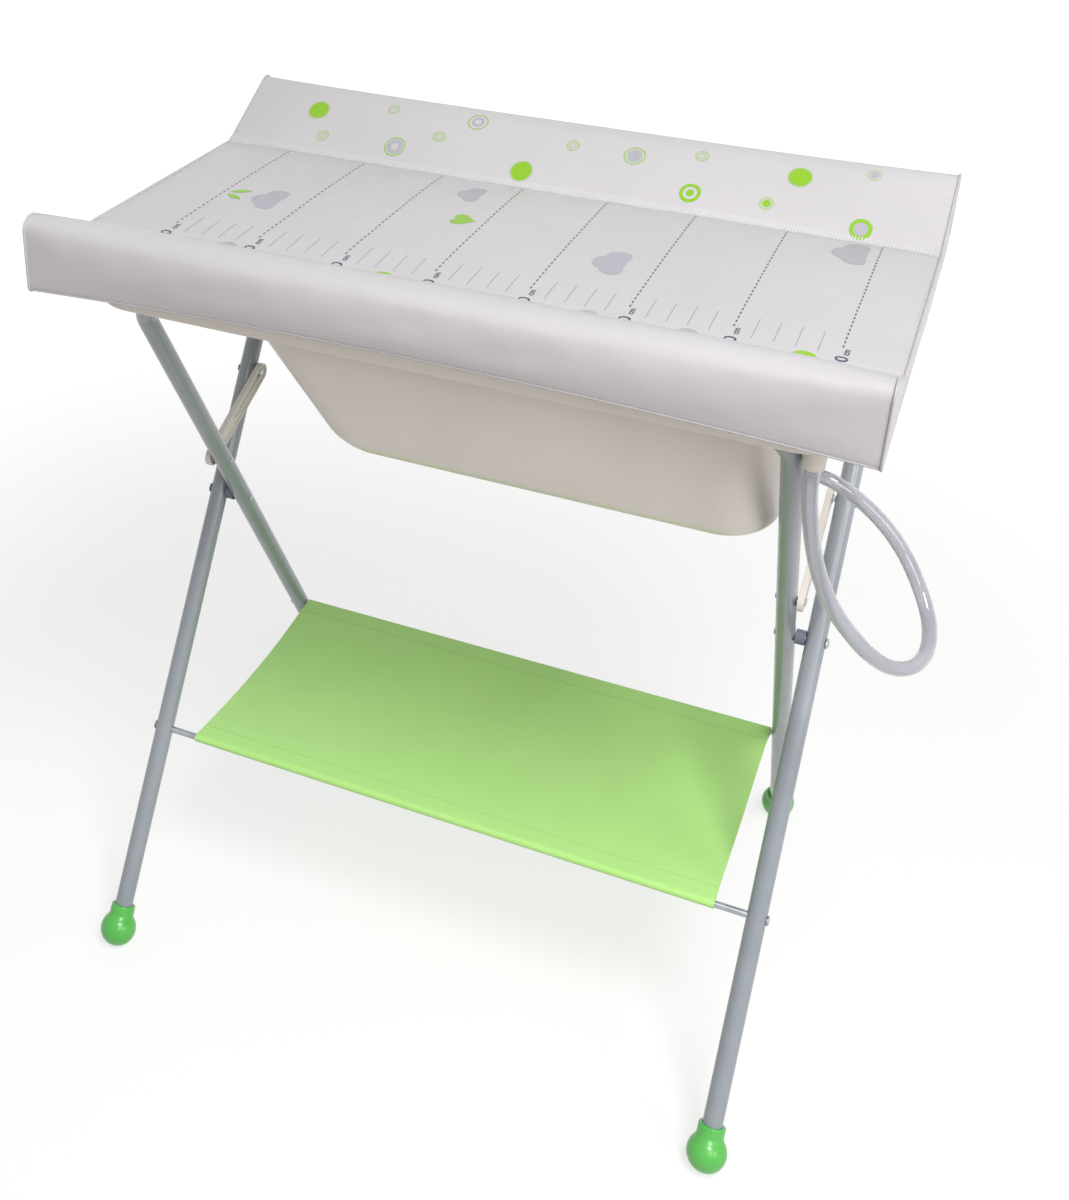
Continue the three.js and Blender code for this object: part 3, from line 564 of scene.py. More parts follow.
def rounded(x0, x1, y0, y1, radius, z, steps):
    """A level ring: a rectangle with round corners of so many steps."""
    ring = []
    for quarter, (cx, cy) in enumerate(((x1 - radius, y1 - radius), (x0 + radius, y1 - radius),
                                        (x0 + radius, y0 + radius), (x1 - radius, y0 + radius))):
        start = 90 * quarter
        ring += [(px, py, z) for px, py in arc(cx, cy, radius, start, start + 90, steps)]
    return ring


def rim_ring(inset, z):
    half_x, half_y = RIM_HALF_X - inset, RIM_HALF_Y - inset
    return rounded(-half_x, half_x, -half_y, half_y, RIM_CORNER - inset, z, 16)


def tub_ring(z, inset):
    """The tub's wall at a height: it flares to the top and curves in to the floor."""
    t = (z - TUB_Z) / (RIM_TOP - TUB_Z)
    curve = TUB_ROUND - inset * 0.5
    up = min(z - TUB_Z - inset, curve)
    pull = inset + curve - sqrt(max(0, curve ** 2 - (curve - up) ** 2))
    half = TUB_HALF_Y + TUB_FLARE * t - pull
    return rounded(TUB_HEAD_X - TUB_HEAD_LEAN * t + pull, DRAIN[0] - pull, -half, half,
                   max(TUB_CORNER - pull, 12), z, 14)


def tub_rings(inset, top):
    bottom, curve = TUB_Z + inset, TUB_ROUND - inset * 0.5
    rings = [tub_ring(bottom + curve * (1 - cos(k * pi / 18)), inset) for k in range(10)]
    return rings + [tub_ring(z, inset) for z in np.linspace(bottom + curve, top, 5)[1:]]


def tray(y, inset, top, depth):
    """Rings of a soap tray from its round-edged floor to its top."""
    half_x, half_y, low = TRAY_HALF_X - inset, TRAY_HALF_Y - inset, top - depth

    def ring(shrink, z):
        return rounded(TRAY_X - half_x + shrink, TRAY_X + half_x - shrink,
                       y - half_y + shrink, y + half_y - shrink, TRAY_CORNER - shrink, z, 10)

    r = TRAY_ROUND
    floor = [ring(r - r * sin(a), low + r - r * cos(a))
             for a in np.linspace(0.15, pi / 2, 6)]
    return floor + [ring(0, top)]


def solid_of(verts, faces):
    """A body for a Boolean step."""
    tool = raw("tool", verts, faces)
    with edited(tool.data) as bm:
        bmesh.ops.triangulate(bm, faces=[f for f in bm.faces if len(f.verts) > 4])
        bmesh.ops.recalc_face_normals(bm, faces=bm.faces)
    return tool


def combine(base, how, *tools):
    for tool in tools:
        step = base.modifiers.new("step", "BOOLEAN")
        step.operation, step.object, step.solver = how, tool, "MANIFOLD"
        applied(base)
        bpy.data.objects.remove(tool)


def bath_moulding():
    """Skirted rim, tub and two soap trays as one shell."""
    quarter, overlap, above = pi / 2, FLANGE_Z + 0.5, RIM_TOP + 1
    foot = [rim_ring(SKIRT_BEVEL, SKIRT_Z), rim_ring(0, SKIRT_Z + SKIRT_BEVEL)]
    edge = [rim_ring(RIM_ROUND * (1 - cos(a)), RIM_TOP - RIM_ROUND + RIM_ROUND * sin(a))
            for a in np.linspace(0, quarter, 8)]
    under = [rim_ring(SKIRT_WALL, SKIRT_Z - 1), rim_ring(SKIRT_WALL, FLANGE_Z - 3),
             rim_ring(3.4, FLANGE_Z - 0.9), rim_ring(5.6, FLANGE_Z)]
    mouth = [tub_ring(RIM_TOP - MOUTH_ROUND + MOUTH_ROUND * sin(a),
                      WALL - MOUTH_FLARE * (1 - cos(a)))
             for a in np.linspace(0, quarter, 9)[1:]]
    hollow = tub_rings(WALL, RIM_TOP - MOUTH_ROUND) + mouth + [tub_ring(above, WALL - MOUTH_FLARE)]
    hole = turned([(0, -40), (DRAIN_R + GAP, -40), (DRAIN_R + GAP, 10), (0, 10)],
                  Matrix.Translation(DRAIN) @ ALONG_X, 32)
    shell = solid_of(*loft(foot + edge))
    combine(shell, "DIFFERENCE", solid_of(*loft(under)))
    combine(shell, "UNION", solid_of(*loft(tub_rings(0, overlap))),
            *[solid_of(*loft(tray(y, -WALL, overlap, TRAY_DEPTH))) for y in TRAYS_Y])
    combine(shell, "DIFFERENCE", solid_of(*loft(hollow)),
            *[solid_of(*loft(tray(y, 0, above, TRAY_DEPTH + 1))) for y in TRAYS_Y],
            solid_of(*hole))
    with edited(shell.data) as bm:
        bmesh.ops.remove_doubles(bm, verts=bm.verts, dist=5e-6)
        bmesh.ops.dissolve_limit(bm, angle_limit=radians(0.4), verts=bm.verts, edges=bm.edges)
    shell.name = shell.data.name = "bath_look"
    tidy(shell, 30)
    shell.data.materials.clear()
    shell.data.materials.append(LOOK["bath_plastic"])
    weighted(shell)
    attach(shell, "bath")
    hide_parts("bath_tub")


def hose_cup():
    """The holder under the rim, with a socket for the hose's end."""
    top, socket_top = FLANGE_Z - GAP, MOUTH_Z + 14
    profile = [(0, top), (13.9, top), (14.5, top - 0.6), (14.5, top - 2.2), (13.6, top - 3.4),
               (12.1, top - 5.2), (11.5, top - 8), (10.7, MOUTH_Z + 1), (10.2, MOUTH_Z + 0.1),
               (9.4, MOUTH_Z), (8.4, MOUTH_Z), (8, MOUTH_Z + 0.5), (8, socket_top),
               (0, socket_top)]
    cup = turned(profile, Matrix.Translation((HOLDER_X, HOLDER_Y, 0)), 48)
    piece = make("hose_holder_look", *cup, "bath", "fitting_plastic")
    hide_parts("hose_holder")


bath_moulding()
dress("drain_spout", "bath", "fitting_plastic", 0.4)
dress("drain_nut", "bath", "fitting_plastic", 0.8)
dress("drain_seal", "bath", "seal_rubber", 0.3)
for side_name in ("left", "right"):
    dress(f"mat_hinge_bracket_{side_name}", "bath", "fitting_plastic", 0.5)
    dress(f"mat_hinge_pin_{side_name}", "bath", "fastener_steel", 0.3)
    dress(f"mat_hinge_leaf_{side_name}", "mat", "fitting_plastic", 0.5)
hose_cup()
dress("mat_base_board", "mat", "base_board", 0.8)


# ---- changing mat ----
# A cover over foam, flat in the middle, with a wedge along front and rear. Each station
# along X is a section of COLUMNS points from front to rear by ROWS from the bottom up.

STATIONS, COLUMNS, ROWS = 65, 87, 16
SEAM_COLUMNS, BASE_COLUMNS = (21, 65), range(11, 76)  # held while the cover swells
ROOM = 1.2  # left for the swelling


def mat_half(bow, inset, droop=0.0):
    """Top, outer and bottom lines of half a section, edge to middle or from the bottom up."""
    edge, high = MAT_HALF_Y - inset, MAT_TOP + WEDGE_HIGH - droop - inset
    low = MAT_Z + HEEL_HIGH + bow - droop + inset
    crest, heel = (edge - CREST_R, high - CREST_R), (edge - HEEL_R, low + HEEL_R)
    top = arc(*crest, CREST_R, 45, 116, 6)
    for across, above, steps in ((165, 5, 13), (159, 2.2, 1), (156, 1.2, 1), (SEAM, 0.5, 1),
                                 (150, 0.1, 1), (146, 0, 1), (0, 0, 19)):
        top += lerped(top[-1], (across, MAT_TOP + above - inset), steps)
    outer = arc(*heel, HEEL_R, -35, 0, 2)
    outer += lerped(outer[-1], (edge, high - CREST_R), 9) + arc(*crest, CREST_R, 0, 45, 4)[1:]
    bottom, base = arc(*heel, HEEL_R, -35, -70, 2), (BASE_HALF_Y, MAT_Z)
    bottom += lerped(bottom[-1], base, 6) + lerped(base, (0, MAT_Z), 35)
    return top, outer, bottom


def mat_section(x, inset):
    """Top, bottom, front and rear lines at x: arrays of y and z, front to rear or upwards."""
    bow = HEEL_BOW * (1 - (x / MAT_HALF_X) ** 2)
    top, outer, bottom = mat_half(bow, inset)
    front = mat_half(bow, inset, FRONT_DROOP)
    front_top, front_outer, front_bottom = ([(-y, z) for y, z in line] for line in front)
    lines = front_top + top[-2::-1], front_bottom + bottom[-2::-1], front_outer, outer
    return [np.array(line) + (MAT_MID_Y, 0) for line in lines]


def mat_body():
    """The closed cover, and the indices of its end loops, seams, underside and lower edges."""
    end_s, end_i, end_j = STATIONS - 1, COLUMNS - 1, ROWS - 1
    outline = [(i, 0) for i in range(COLUMNS)] + [(end_i, j) for j in range(1, ROWS)] \
        + [(i, end_j) for i in range(end_i - 1, -1, -1)] + [(0, j) for j in range(end_j - 1, 0, -1)]
    inner = [(i, j) for i in range(1, end_i) for j in range(1, end_j)]
    verts, faces, index = [], [], {}
    for s, x in enumerate(np.linspace(-MAT_HALF_X + ROOM, MAT_HALF_X - ROOM, STATIONS)):
        top, bottom, front, rear = mat_section(x, ROOM)
        for i, j in outline + (inner if s in (0, end_s) else []):
            u, v = i / end_i, j / end_j
            corners = ((1 - u) * (1 - v) * bottom[0] + u * (1 - v) * bottom[-1]
                       + (1 - u) * v * top[0] + u * v * top[-1])
            point = (1 - v) * bottom[i] + v * top[i] + (1 - u) * front[j] + u * rear[j] - corners
            if i in (0, end_i):
                point = front[j] if i == 0 else rear[j]
            if j in (0, end_j):
                point = bottom[i] if j == 0 else top[i]
            index[s, i, j] = len(verts)
            verts.append((x, *point))
    for s in range(end_s):
        for a, b in zip(outline, outline[1:] + outline[:1]):
            faces.append([index[s, *a], index[s + 1, *a], index[s + 1, *b], index[s, *b]])
    for s in (0, end_s):
        for i in range(end_i):
            for j in range(end_j):
                faces.append([index[s, i, j], index[s, i + 1, j],
                              index[s, i + 1, j + 1], index[s, i, j + 1]])
    cover = make("mat_cover", verts, faces, angle=60, look=LOOK["mat_vinyl"], weld=False)
    ends = [[index[s, *key] for key in outline] for s in (0, end_s)]
    seams = [index[s, i, end_j] for s in range(STATIONS) for i in SEAM_COLUMNS]
    under = [index[s, i, 0] for s in range(STATIONS) for i in BASE_COLUMNS]
    edges = [index[s, i, 0] for s in range(STATIONS) for i in (0, end_i)]
    return cover, ends, seams, under, edges


def inflated(piece, pinned, pressure, cap):
    """The closed piece's points, in millimetres, after Blender's cloth has blown it up.

    Pinned points hold, and no point moves further than cap.
    """
    steps = 20
    start = np.array([v.co for v in piece.data.vertices])
    pin = piece.vertex_groups.new(name="pin")
    pin.add(sorted(set(pinned)), 1.0, "REPLACE")
    cloth = piece.modifiers.new("cloth", "CLOTH")
    fabric = cloth.settings
    fabric.vertex_group_mass, fabric.quality, fabric.mass = "pin", 4, 0.25
    fabric.tension_stiffness = fabric.compression_stiffness = 25
    fabric.shear_stiffness, fabric.bending_stiffness = 12, 2
    fabric.use_pressure, fabric.uniform_pressure_force = True, pressure
    fabric.effector_weights.gravity = 0
    cloth.collision_settings.use_collision = False
    cloth.point_cache.frame_start, cloth.point_cache.frame_end = 1, steps
    for step in range(1, steps + 1):
        scene.frame_set(step)
    applied(piece)
    scene.frame_set(1)
    piece.vertex_groups.clear()
    moved = np.array([v.co for v in piece.data.vertices]) - start
    length = np.linalg.norm(moved, axis=1)[:, None] + 1e-9
    return (start + moved / length * cap * MM * np.tanh(length / (cap * MM))) / MM


def swell(x, y, seed, waves):
    """Smooth unevenness from -1 to 1: a sum of seeded waves of the given lengths."""
    dice = np.random.default_rng(seed)
    total = np.zeros(len(x))
    for length in waves:
        turn, phase = dice.uniform(0, 2 * pi, 2)
        total += np.sin(2 * pi * (x * cos(turn) + y * sin(turn)) / length + phase)
    return total / len(waves)


GROOVE, GROOVE_HALF = 1.5, 2.6  # depth and half width of the seams
PUCKER, PUCKER_REACH = 0.55, 22  # beside the seams
TOP_SWELL, FACE_SWELL, FACE_RIPPLE = 0.7, 0.9, 0.5


def uneven(points):
    """The cover drawn in at its seams, puckered beside them, uneven on top and on its faces."""
    x, y, z = points.T
    off = np.abs(y - MAT_MID_Y)
    on_top = (z > MAT_TOP - 12) & (off < MAT_HALF_Y - 18)
    seam = np.exp(-((off - SEAM) / GROOVE_HALF) ** 2) * on_top
    beside = np.exp(-np.abs(off - SEAM) / PUCKER_REACH) * on_top
    inside = np.clip((MAT_HALF_X - 6 - np.abs(x)) / 40, 0, 1)
    z = z - GROOVE * seam
    z += inside * beside * PUCKER * swell(x, y * 0.25, 3, (17, 23, 31, 41))
    z += inside * on_top * np.clip((off - 3) / 30, 0.4, 1) * TOP_SWELL \
        * swell(x, y, 5, (140, 190, 260, 90))
    face = np.clip((off - (MAT_HALF_Y - 8)) / 5, 0, 1)
    rise = np.clip((z - MAT_Z - 14) / 25, 0, 1) * np.clip((MAT_TOP + 50 - z) / 20, 0, 1)
    y = y + np.sign(y - MAT_MID_Y) * face * rise * inside * (
        FACE_SWELL * swell(x, z * 2, 8, (70, 110, 160, 240))
        + FACE_RIPPLE * swell(x, z, 9, (34, 47, 61)))
    return np.stack([x, y, z], 1)


mat, mat_ends, mat_seams, mat_under, mat_edges = mat_body()
held = mat_ends[0] + mat_ends[1] + mat_seams + mat_under + mat_edges
points = uneven(inflated(mat, held, pressure=4, cap=6))
mat.data.vertices.foreach_set("co", (points * MM).ravel())
with edited(mat.data) as bm:
    crease = bm.edges.layers.float.new("crease_edge")
    bm.verts.ensure_lookup_table()
    for loop in mat_ends:
        for a, b in zip(loop, loop[1:] + loop[:1]):
            bm.edges.get((bm.verts[a], bm.verts[b]))[crease] = 1.0
end_loops = [np.array([mat.data.vertices[k].co for k in loop]) / MM for loop in mat_ends]
edge_lines = [np.array([mat.data.vertices[k].co for k in mat_edges[side::2]]) / MM
              for side in (0, 1)]
mat.modifiers.new("finer", "SUBSURF").levels = 1
applied(mat)
mat.name = mat.data.name = "mat_cover"
mat.data.shade_smooth()
mat.data.set_sharp_from_angle(angle=radians(48))
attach(mat, "mat")
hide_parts("changing_mat")

PIPING = vinyl("mat_piping", "#B3B0B5", "#C2BFC3", (0.35, 0.5))
WELT = vinyl("mat_welt", "#ADAAAC", "#B5B2B4", (0.35, 0.5))
PIPING_R, PIPING_OUT, WELT_R, WELT_DOWN, TRIM_SIDES = 1.3, 0.5, 1.1, 0.4, 10


def piping(name, loop):
    """A round cord round a flat closed loop that faces along X, a little outside it."""
    ahead = np.roll(loop, -1, 0) - np.roll(loop, 1, 0)
    ahead /= np.linalg.norm(ahead, axis=1)[:, None]
    side = np.cross(ahead, [1, 0, 0])
    if (side * (loop - loop.mean(0))).sum() < 0:
        side = -side
    turn = np.linspace(0, 2 * pi, TRIM_SIDES, endpoint=False)
    across, along = np.cos(turn)[:, None], np.sin(turn)[:, None] * np.array([1, 0, 0])
    rings = [c + s * PIPING_OUT + PIPING_R * (across * s + along) for c, s in zip(loop, side)]
    make(name, *strip(rings + rings[:1]), "mat", "mat_vinyl", PIPING)


for side_name, loop in zip(("left", "right"), end_loops):
    piping(f"mat_piping_{side_name}", loop)
for side_name, line in zip(("front", "rear"), edge_lines):
    welt = sweep(line - (0, 0, WELT_DOWN), WELT_R, TRIM_SIDES)
    make(f"mat_welt_{side_name}", *welt, "mat", "mat_vinyl", WELT)

# ---- prints on the mat ----

surface = BVHTree.FromObject(mat, bpy.context.evaluated_depsgraph_get())
REAR_SEAM, FRONT_SEAM = MAT_MID_Y + SEAM, MAT_MID_Y - SEAM
SLOPE = cos(radians(26.8))
CAST_FROM, DOWN = 1.3, Vector((0, 0, -1))  # metres, above the mat
DIGIT_SHARE, LETTER_STRETCH = 0.69, 1.15  # a digit's height in the font, and its widening


def level(x, y):
    return x, y


def on_slope(x, s):
    """A point s up the rear wedge's slope from its seam."""
    return x, REAR_SEAM + s * SLOPE


class Prints:
    """Flat shapes of one colour, a hair above the mat. Points are x and y seen from above."""

    def __init__(self, name, look, lift=0.22):
        self.name, self.look, self.lift, self.verts, self.faces = name, look, lift, [], []

    def add(self, points, faces, warp=level):
        base = len(self.verts)
        for point in points:
            px, py = warp(*point)
            spot, normal, _, _ = surface.ray_cast(Vector((px * MM, py * MM, CAST_FROM)), DOWN)
            self.verts.append(np.array(spot) / MM + np.array(normal) * self.lift)
        self.faces += [[base + k for k in face] for face in faces]

    def bar(self, x0, y0, x1, y1, width, parts=1):
        dx, dy = x1 - x0, y1 - y0
        nx, ny = -dy / hypot(dx, dy) * width / 2, dx / hypot(dx, dy) * width / 2
        points = []
        for k in range(parts + 1):
            cx, cy = x0 + dx * k / parts, y0 + dy * k / parts
            points += [(cx - nx, cy - ny), (cx + nx, cy + ny)]
        self.add(points, [(2 * k, 2 * k + 1, 2 * k + 3, 2 * k + 2) for k in range(parts)])

    def shape(self, outline, centre, hole=0.0, rings=3, warp=level):
        """A star-shaped outline round centre, filled from the share hole of its size outwards."""
        count = len(outline)
        shares = np.linspace(hole, 1, rings + 1)
        points = [(centre[0] + ox * s, centre[1] + oy * s) for s in shares for ox, oy in outline]
        faces = [(r * count + i, r * count + (i + 1) % count,
                  (r + 1) * count + (i + 1) % count, (r + 1) * count + i)
                 for r in range(rings) for i in range(count)]
        if hole == 0:
            points = [centre] + points[count:]
            faces = [(0, 1 + i, 1 + (i + 1) % count) for i in range(count)] \
                + [[k - count + 1 for k in face] for face in faces[count:]]
        self.add(points, faces, warp)

    def disc(self, cx, cy, outer, inner=0.0, warp=level):
        circle = arc(0, 0, outer, 0, 360, 44)[:-1]
        self.shape(circle, (cx, cy), inner / outer, 3 if inner == 0 else 1, warp)

    def text(self, words, cx, cy, height):
        """Letters that read along +Y with their tops towards -X, centred on cx from cy on."""
        curve = bpy.data.curves.new("letters", "FONT")
        curve.body, curve.size, curve.resolution_u = words, height / DIGIT_SHARE * MM, 3
        curve.offset = 0.2 * MM
        letters = placed("letters", curve)
        mesh = mesh_now(letters)
        self.add([(cx + height / 2 - v.co.y / MM, cy + v.co.x / MM * LETTER_STRETCH)
                  for v in mesh.vertices], [tuple(p.vertices) for p in mesh.polygons])
        bpy.data.objects.remove(letters)
        bpy.data.curves.remove(curve)
        bpy.data.meshes.remove(mesh)

    def done(self):
        piece = make(self.name, self.verts, self.faces, "mat", "mat_vinyl", self.look, 80,
                     weld=False)
        if sum(p.normal.z for p in piece.data.polygons) < 0:
            piece.data.flip_normals()


dark = Prints("print_scale", ink("ink_dark", "#3F4058", "#4A4B62"))
fine = Prints("print_ticks", ink("ink_fine", "#8D8E9C", "#9798A5"))
lime = Prints("print_lime", ink("ink_lime", "#84BA1D", "#8CC026"))
pale = Prints("print_grey", ink("ink_grey", "#A8A8B2", "#B0B0B9"))
mist = Prints("print_pale", ink("ink_mist", "#A6BC86", "#AFC492"), 0.18)
weld = Prints("mat_weld_marks", vinyl("weld_marks", "#D4D3D7", "#DBDADE", (0.29, 0.36)), 0.35)

# The scale: a dashed line every 10 cm with its number, and four ticks between lines.
ZERO_X, LINE_PITCH, LINES = 363.7, 99.6, 8
DASHES_Y, DASH, DASH_WIDTH = np.arange(-142, 132, 9.3), 4.6, 1.5
LABEL_Y, DIGIT_HEIGHT, UNIT_HEIGHT = -158, 11.5, 6.4
TICK_PITCH, TICK_NEAR, TICK_FAR, TICK_WIDTH = 20, -158, -117, 0.7

for k in range(LINES):
    x0 = ZERO_X - LINE_PITCH * k
    for y0 in DASHES_Y:
        dark.bar(x0, y0, x0, y0 + DASH, DASH_WIDTH)
    label = f"{10 * k}"
    dark.text(label, x0 + 2, LABEL_Y - DIGIT_HEIGHT * len(label), DIGIT_HEIGHT)
    dark.text("cm", x0 + 4, LABEL_Y + 1, UNIT_HEIGHT)
    for n in range(1, 5) if k < LINES - 1 else ():
        tick_x = x0 - TICK_PITCH * n
        fine.bar(tick_x, TICK_NEAR, tick_x, TICK_FAR, TICK_WIDTH, 6)


# Dots and rings on the rear slope: x, distance up it, outer and inner radius.
for px, s, r in ((-325.5, 64.5, 12), (-47.1, 21, 11.8), (260.4, 70.4, 12)):
    lime.disc(px, s, r, 0, on_slope)
    mist.disc(px, s, r + 1.7, r + 0.2, on_slope)
RINGS = [(pale, -209, 27.4, 10, 4.6), (lime, -209, 27.4, 12.9, 11.5),
         (pale, -121.5, 80.7, 7.6, 4.4), (lime, -121.5, 80.7, 12.4, 11.1),
         (pale, 74.6, 65.4, 7.8, 0), (lime, 74.6, 65.4, 12.6, 11.4), (mist, 74.6, 65.4, 9.6, 8.6),
         (lime, 336.7, 17.8, 12, 7.6), (pale, 336.7, 17.8, 7.2, 0),
         (lime, 149.2, 26.7, 11.9, 8), (lime, 149.2, 26.7, 4.4, 0),
         (lime, 233.4, 28.7, 4.6, 0), (mist, 233.4, 28.7, 8.2, 6),
         (pale, 336.7, 88.8, 4.6, 0), (mist, 336.7, 88.8, 8, 6.4)]
for sheet, *ring in RINGS:
    sheet.disc(*ring, on_slope)
for px, s, r in ((-304.9, 28.1, 8), (-231.2, 81.9, 7.6), (-160.4, 50.1, 8), (0.9, 66.3, 8),
                 (148.9, 79.3, 8)):
    mist.disc(px, s, r, r * 0.72, on_slope)
    mist.disc(px, s, r * 0.52, r * 0.36, on_slope)

# Dots and rings across the front seam.
FRONT_DOTS_Y, FRONT_DOT_R, FRONT_DOT_HOLE = -176, 13, 8.5
for px in (-80, 334):
    lime.disc(px, FRONT_DOTS_Y, FRONT_DOT_R)
for px in (-255.5, 131.5, 228):
    pale.disc(px, FRONT_DOTS_Y, FRONT_DOT_R, FRONT_DOT_HOLE)


def cloud(size):
    """The outline of three lobes on a flat base, its top towards -X."""
    lobes = [(-15, 0, 10.5), (-2, 6, 14.5), (14, 1, 11.5)]
    outline = []
    for t in np.linspace(0, 2 * pi, 96, endpoint=False):
        ux, uy = cos(t), sin(t)
        far = max(cx * ux + cy * uy + sqrt(max(0, r * r - (cx * uy - cy * ux) ** 2))
                  for cx, cy, r in lobes if r * r > (cx * uy - cy * ux) ** 2)
        far = min(far, 9 / -uy) if uy < 0 else far
        outline.append((-far * uy * size, far * ux * size))
    return outline


def heart(size):
    turn = np.linspace(0, 2 * pi, 72, endpoint=False)
    return [((-13 * cos(t) + 5 * cos(2 * t) + 2 * cos(3 * t) + cos(4 * t))
             * size, 16 * sin(t) ** 3 * size) for t in turn]


def leaf(size, angle):
    c, s = cos(angle), sin(angle)
    half = [(t, 5 * sin(pi * (t + 14) / 28)) for t in np.linspace(-14, 14, 24)]
    return [((a * c - b * s) * size, (a * s + b * c) * size)
            for a, b in half + [(a, -b) for a, b in half[-2:0:-1]]]


for size, place in ((1.25, (342, 92)), (1.2, (124, -46)), (0.95, (-76, 78)), (1.15, (-272, -38))):
    pale.shape(cloud(size), place)
lime.shape(heart(0.95), (-60, -2))
for turn in (-0.5, 0.5):
    lime.shape(leaf(0.9, turn), (-316, -38 + 18 * turn))

# Slanted weld marks along both seams, on the wedges' side.
MARK_END_X, MARK_PITCH, MARK_SLANT, MARK_WIDTH, MARK_NEAR, MARK_FAR = 412, 3.4, 1.1, 1.2, 1, 8.5
for seam_y, out in ((REAR_SEAM, 1), (FRONT_SEAM, -1)):
    for px in np.arange(-MARK_END_X, MARK_END_X, MARK_PITCH):
        weld.bar(px, seam_y + out * MARK_NEAR, px + MARK_SLANT, seam_y + out * MARK_FAR,
                 MARK_WIDTH, 4)
for sheet in (dark, fine, lime, pale, mist, weld):
    sheet.done()


# ---- fabric shelf ----

ROD_Y = ROD_DISTANCE * sin(LEG_ANGLE)
ROD_Z = PIVOT_Z - ROD_DISTANCE * cos(LEG_ANGLE)
CLOTH_HALF_X, CLOTH_THICK, SAG, SLEEVE_R, HEM = 328, 0.8, 9, 5.0, 22.0
STITCH_PITCH, STITCH, THREAD_R, THREAD_LIFT = 3.7, 2.5, 0.28, 0.45
HEXAGON = [(cos(k * pi / 3), sin(k * pi / 3)) for k in range(6)]


def span_height(y):
    t = (y + ROD_Y) / (2 * ROD_Y)
    return ROD_Z + SLEEVE_R - 4 * SAG * t * (1 - t)


def cloth_line():
    """The cloth's section: front hem, round the rod, across, round the rear rod, rear hem."""
    stitch = -ROD_Y + HEM
    sleeve = [(-ROD_Y + SLEEVE_R * cos(a), ROD_Z + SLEEVE_R * sin(a))
              for a in np.linspace(radians(295), radians(92), 15)]
    flap = lerped((stitch, span_height(stitch) - 1.3), sleeve[0], 5)
    hem = [(stitch + 1.5, span_height(stitch) - 1.25), (stitch, span_height(stitch) - 1.3)]
    front = hem + flap[:-1] + sleeve
    span = [(y, span_height(y)) for y in np.linspace(-ROD_Y + 3, ROD_Y - 3, 50)]
    return np.array(front + span + [(-y, z) for y, z in front[::-1]])


line = cloth_line()
across = np.linspace(-CLOTH_HALF_X, CLOTH_HALF_X, 83)
cx, cy, cz = np.array([(x, y, z) for x in across for y, z in line]).T
middle = np.clip(1 - (cy / ROD_Y) ** 2, 0, 1)
cz += middle * (1.5 * swell(cx, cy * 0.5, 12, (150, 210, 290))
                + 0.6 * swell(cx, cy * 0.3, 13, (58, 83)))
FOLDS_Y, FOLDS_WIDE, FOLDS_HIGH = 80, 50, 2  # soft folds in front of the rear rod
cz += middle * np.exp(-((cy - FOLDS_Y) / FOLDS_WIDE) ** 2) * FOLDS_HIGH \
    * swell(cx, cy * 0.25, 14, (46, 71, 97))
cx *= 1 - 0.002 * middle  # the free sides draw in a little
verts, faces = strip(np.stack([cx, cy, cz], 1).reshape(len(across), len(line), 3),
                     closed_ring=False)
shelf = make("shelf_cloth", verts, faces, look=LOOK["shelf_cloth"], angle=70)
cover = BVHTree.FromObject(shelf, bpy.context.evaluated_depsgraph_get())
thick = shelf.modifiers.new("thick", "SOLIDIFY")
thick.thickness, thick.offset = CLOTH_THICK * MM, 0
applied(shelf)
tidy(shelf, 50)

seam_verts, seam_faces = [], []
for seam_y in (-ROD_Y + HEM, ROD_Y - HEM):
    for px in np.arange(6 - CLOTH_HALF_X, CLOTH_HALF_X - 6, STITCH_PITCH):
        base = len(seam_verts)
        for at in (px, px + STITCH):
            spot = cover.ray_cast(Vector((at * MM, seam_y * MM, 0.4)), DOWN)[0]
            end = np.array(spot) / MM + (0, 0, THREAD_LIFT)
            seam_verts += [end + np.array((0, THREAD_R * c, THREAD_R * s)) for c, s in HEXAGON]
        seam_faces += [(base + a, base + (a + 1) % 6, base + 6 + (a + 1) % 6, base + 6 + a)
                       for a in range(6)]
        seam_faces += [tuple(range(base, base + 6)), tuple(range(base + 6, base + 12))]
thread = Surface("shelf_thread", Roughness=0.7)
thread.colour(thread.noise(400, 2), "#86BF5E", "#93CB6B")
thread.relief(thread.noise(2500, 2), 0.05)
stitches = make("shelf_stitches", seam_verts, seam_faces, slot="shelf_cloth",
                look=thread.material, angle=70)
for piece in (shelf, stitches):
    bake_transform(piece)
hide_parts("shelf_fabric")


# ---- floor, backdrop and lights ----

def looked_at(tree):
    """1 for rays from the lens, from a reflection or through clear plastic, else 0."""
    path = tree.nodes.new("ShaderNodeLightPath")
    total = path.outputs["Is Camera Ray"]
    for name in ("Is Glossy Ray", "Is Transmission Ray"):
        high = tree.nodes.new("ShaderNodeMath")
        high.operation = "MAXIMUM"
        tree.links.new(total, high.inputs[0])
        tree.links.new(path.outputs[name], high.inputs[1])
        total = high.outputs[0]
    return total


def two_faced(tree, output, lighting, seen):
    """One shader for the rays that looked_at picks, and another for the rest."""
    mix, out = tree.nodes.new("ShaderNodeMixShader"), tree.nodes.new(output)
    tree.links.new(looked_at(tree), mix.inputs["Fac"])
    tree.links.new(lighting, mix.inputs[1])
    tree.links.new(seen, mix.inputs[2])
    tree.links.new(mix.outputs[0], out.inputs["Surface"])


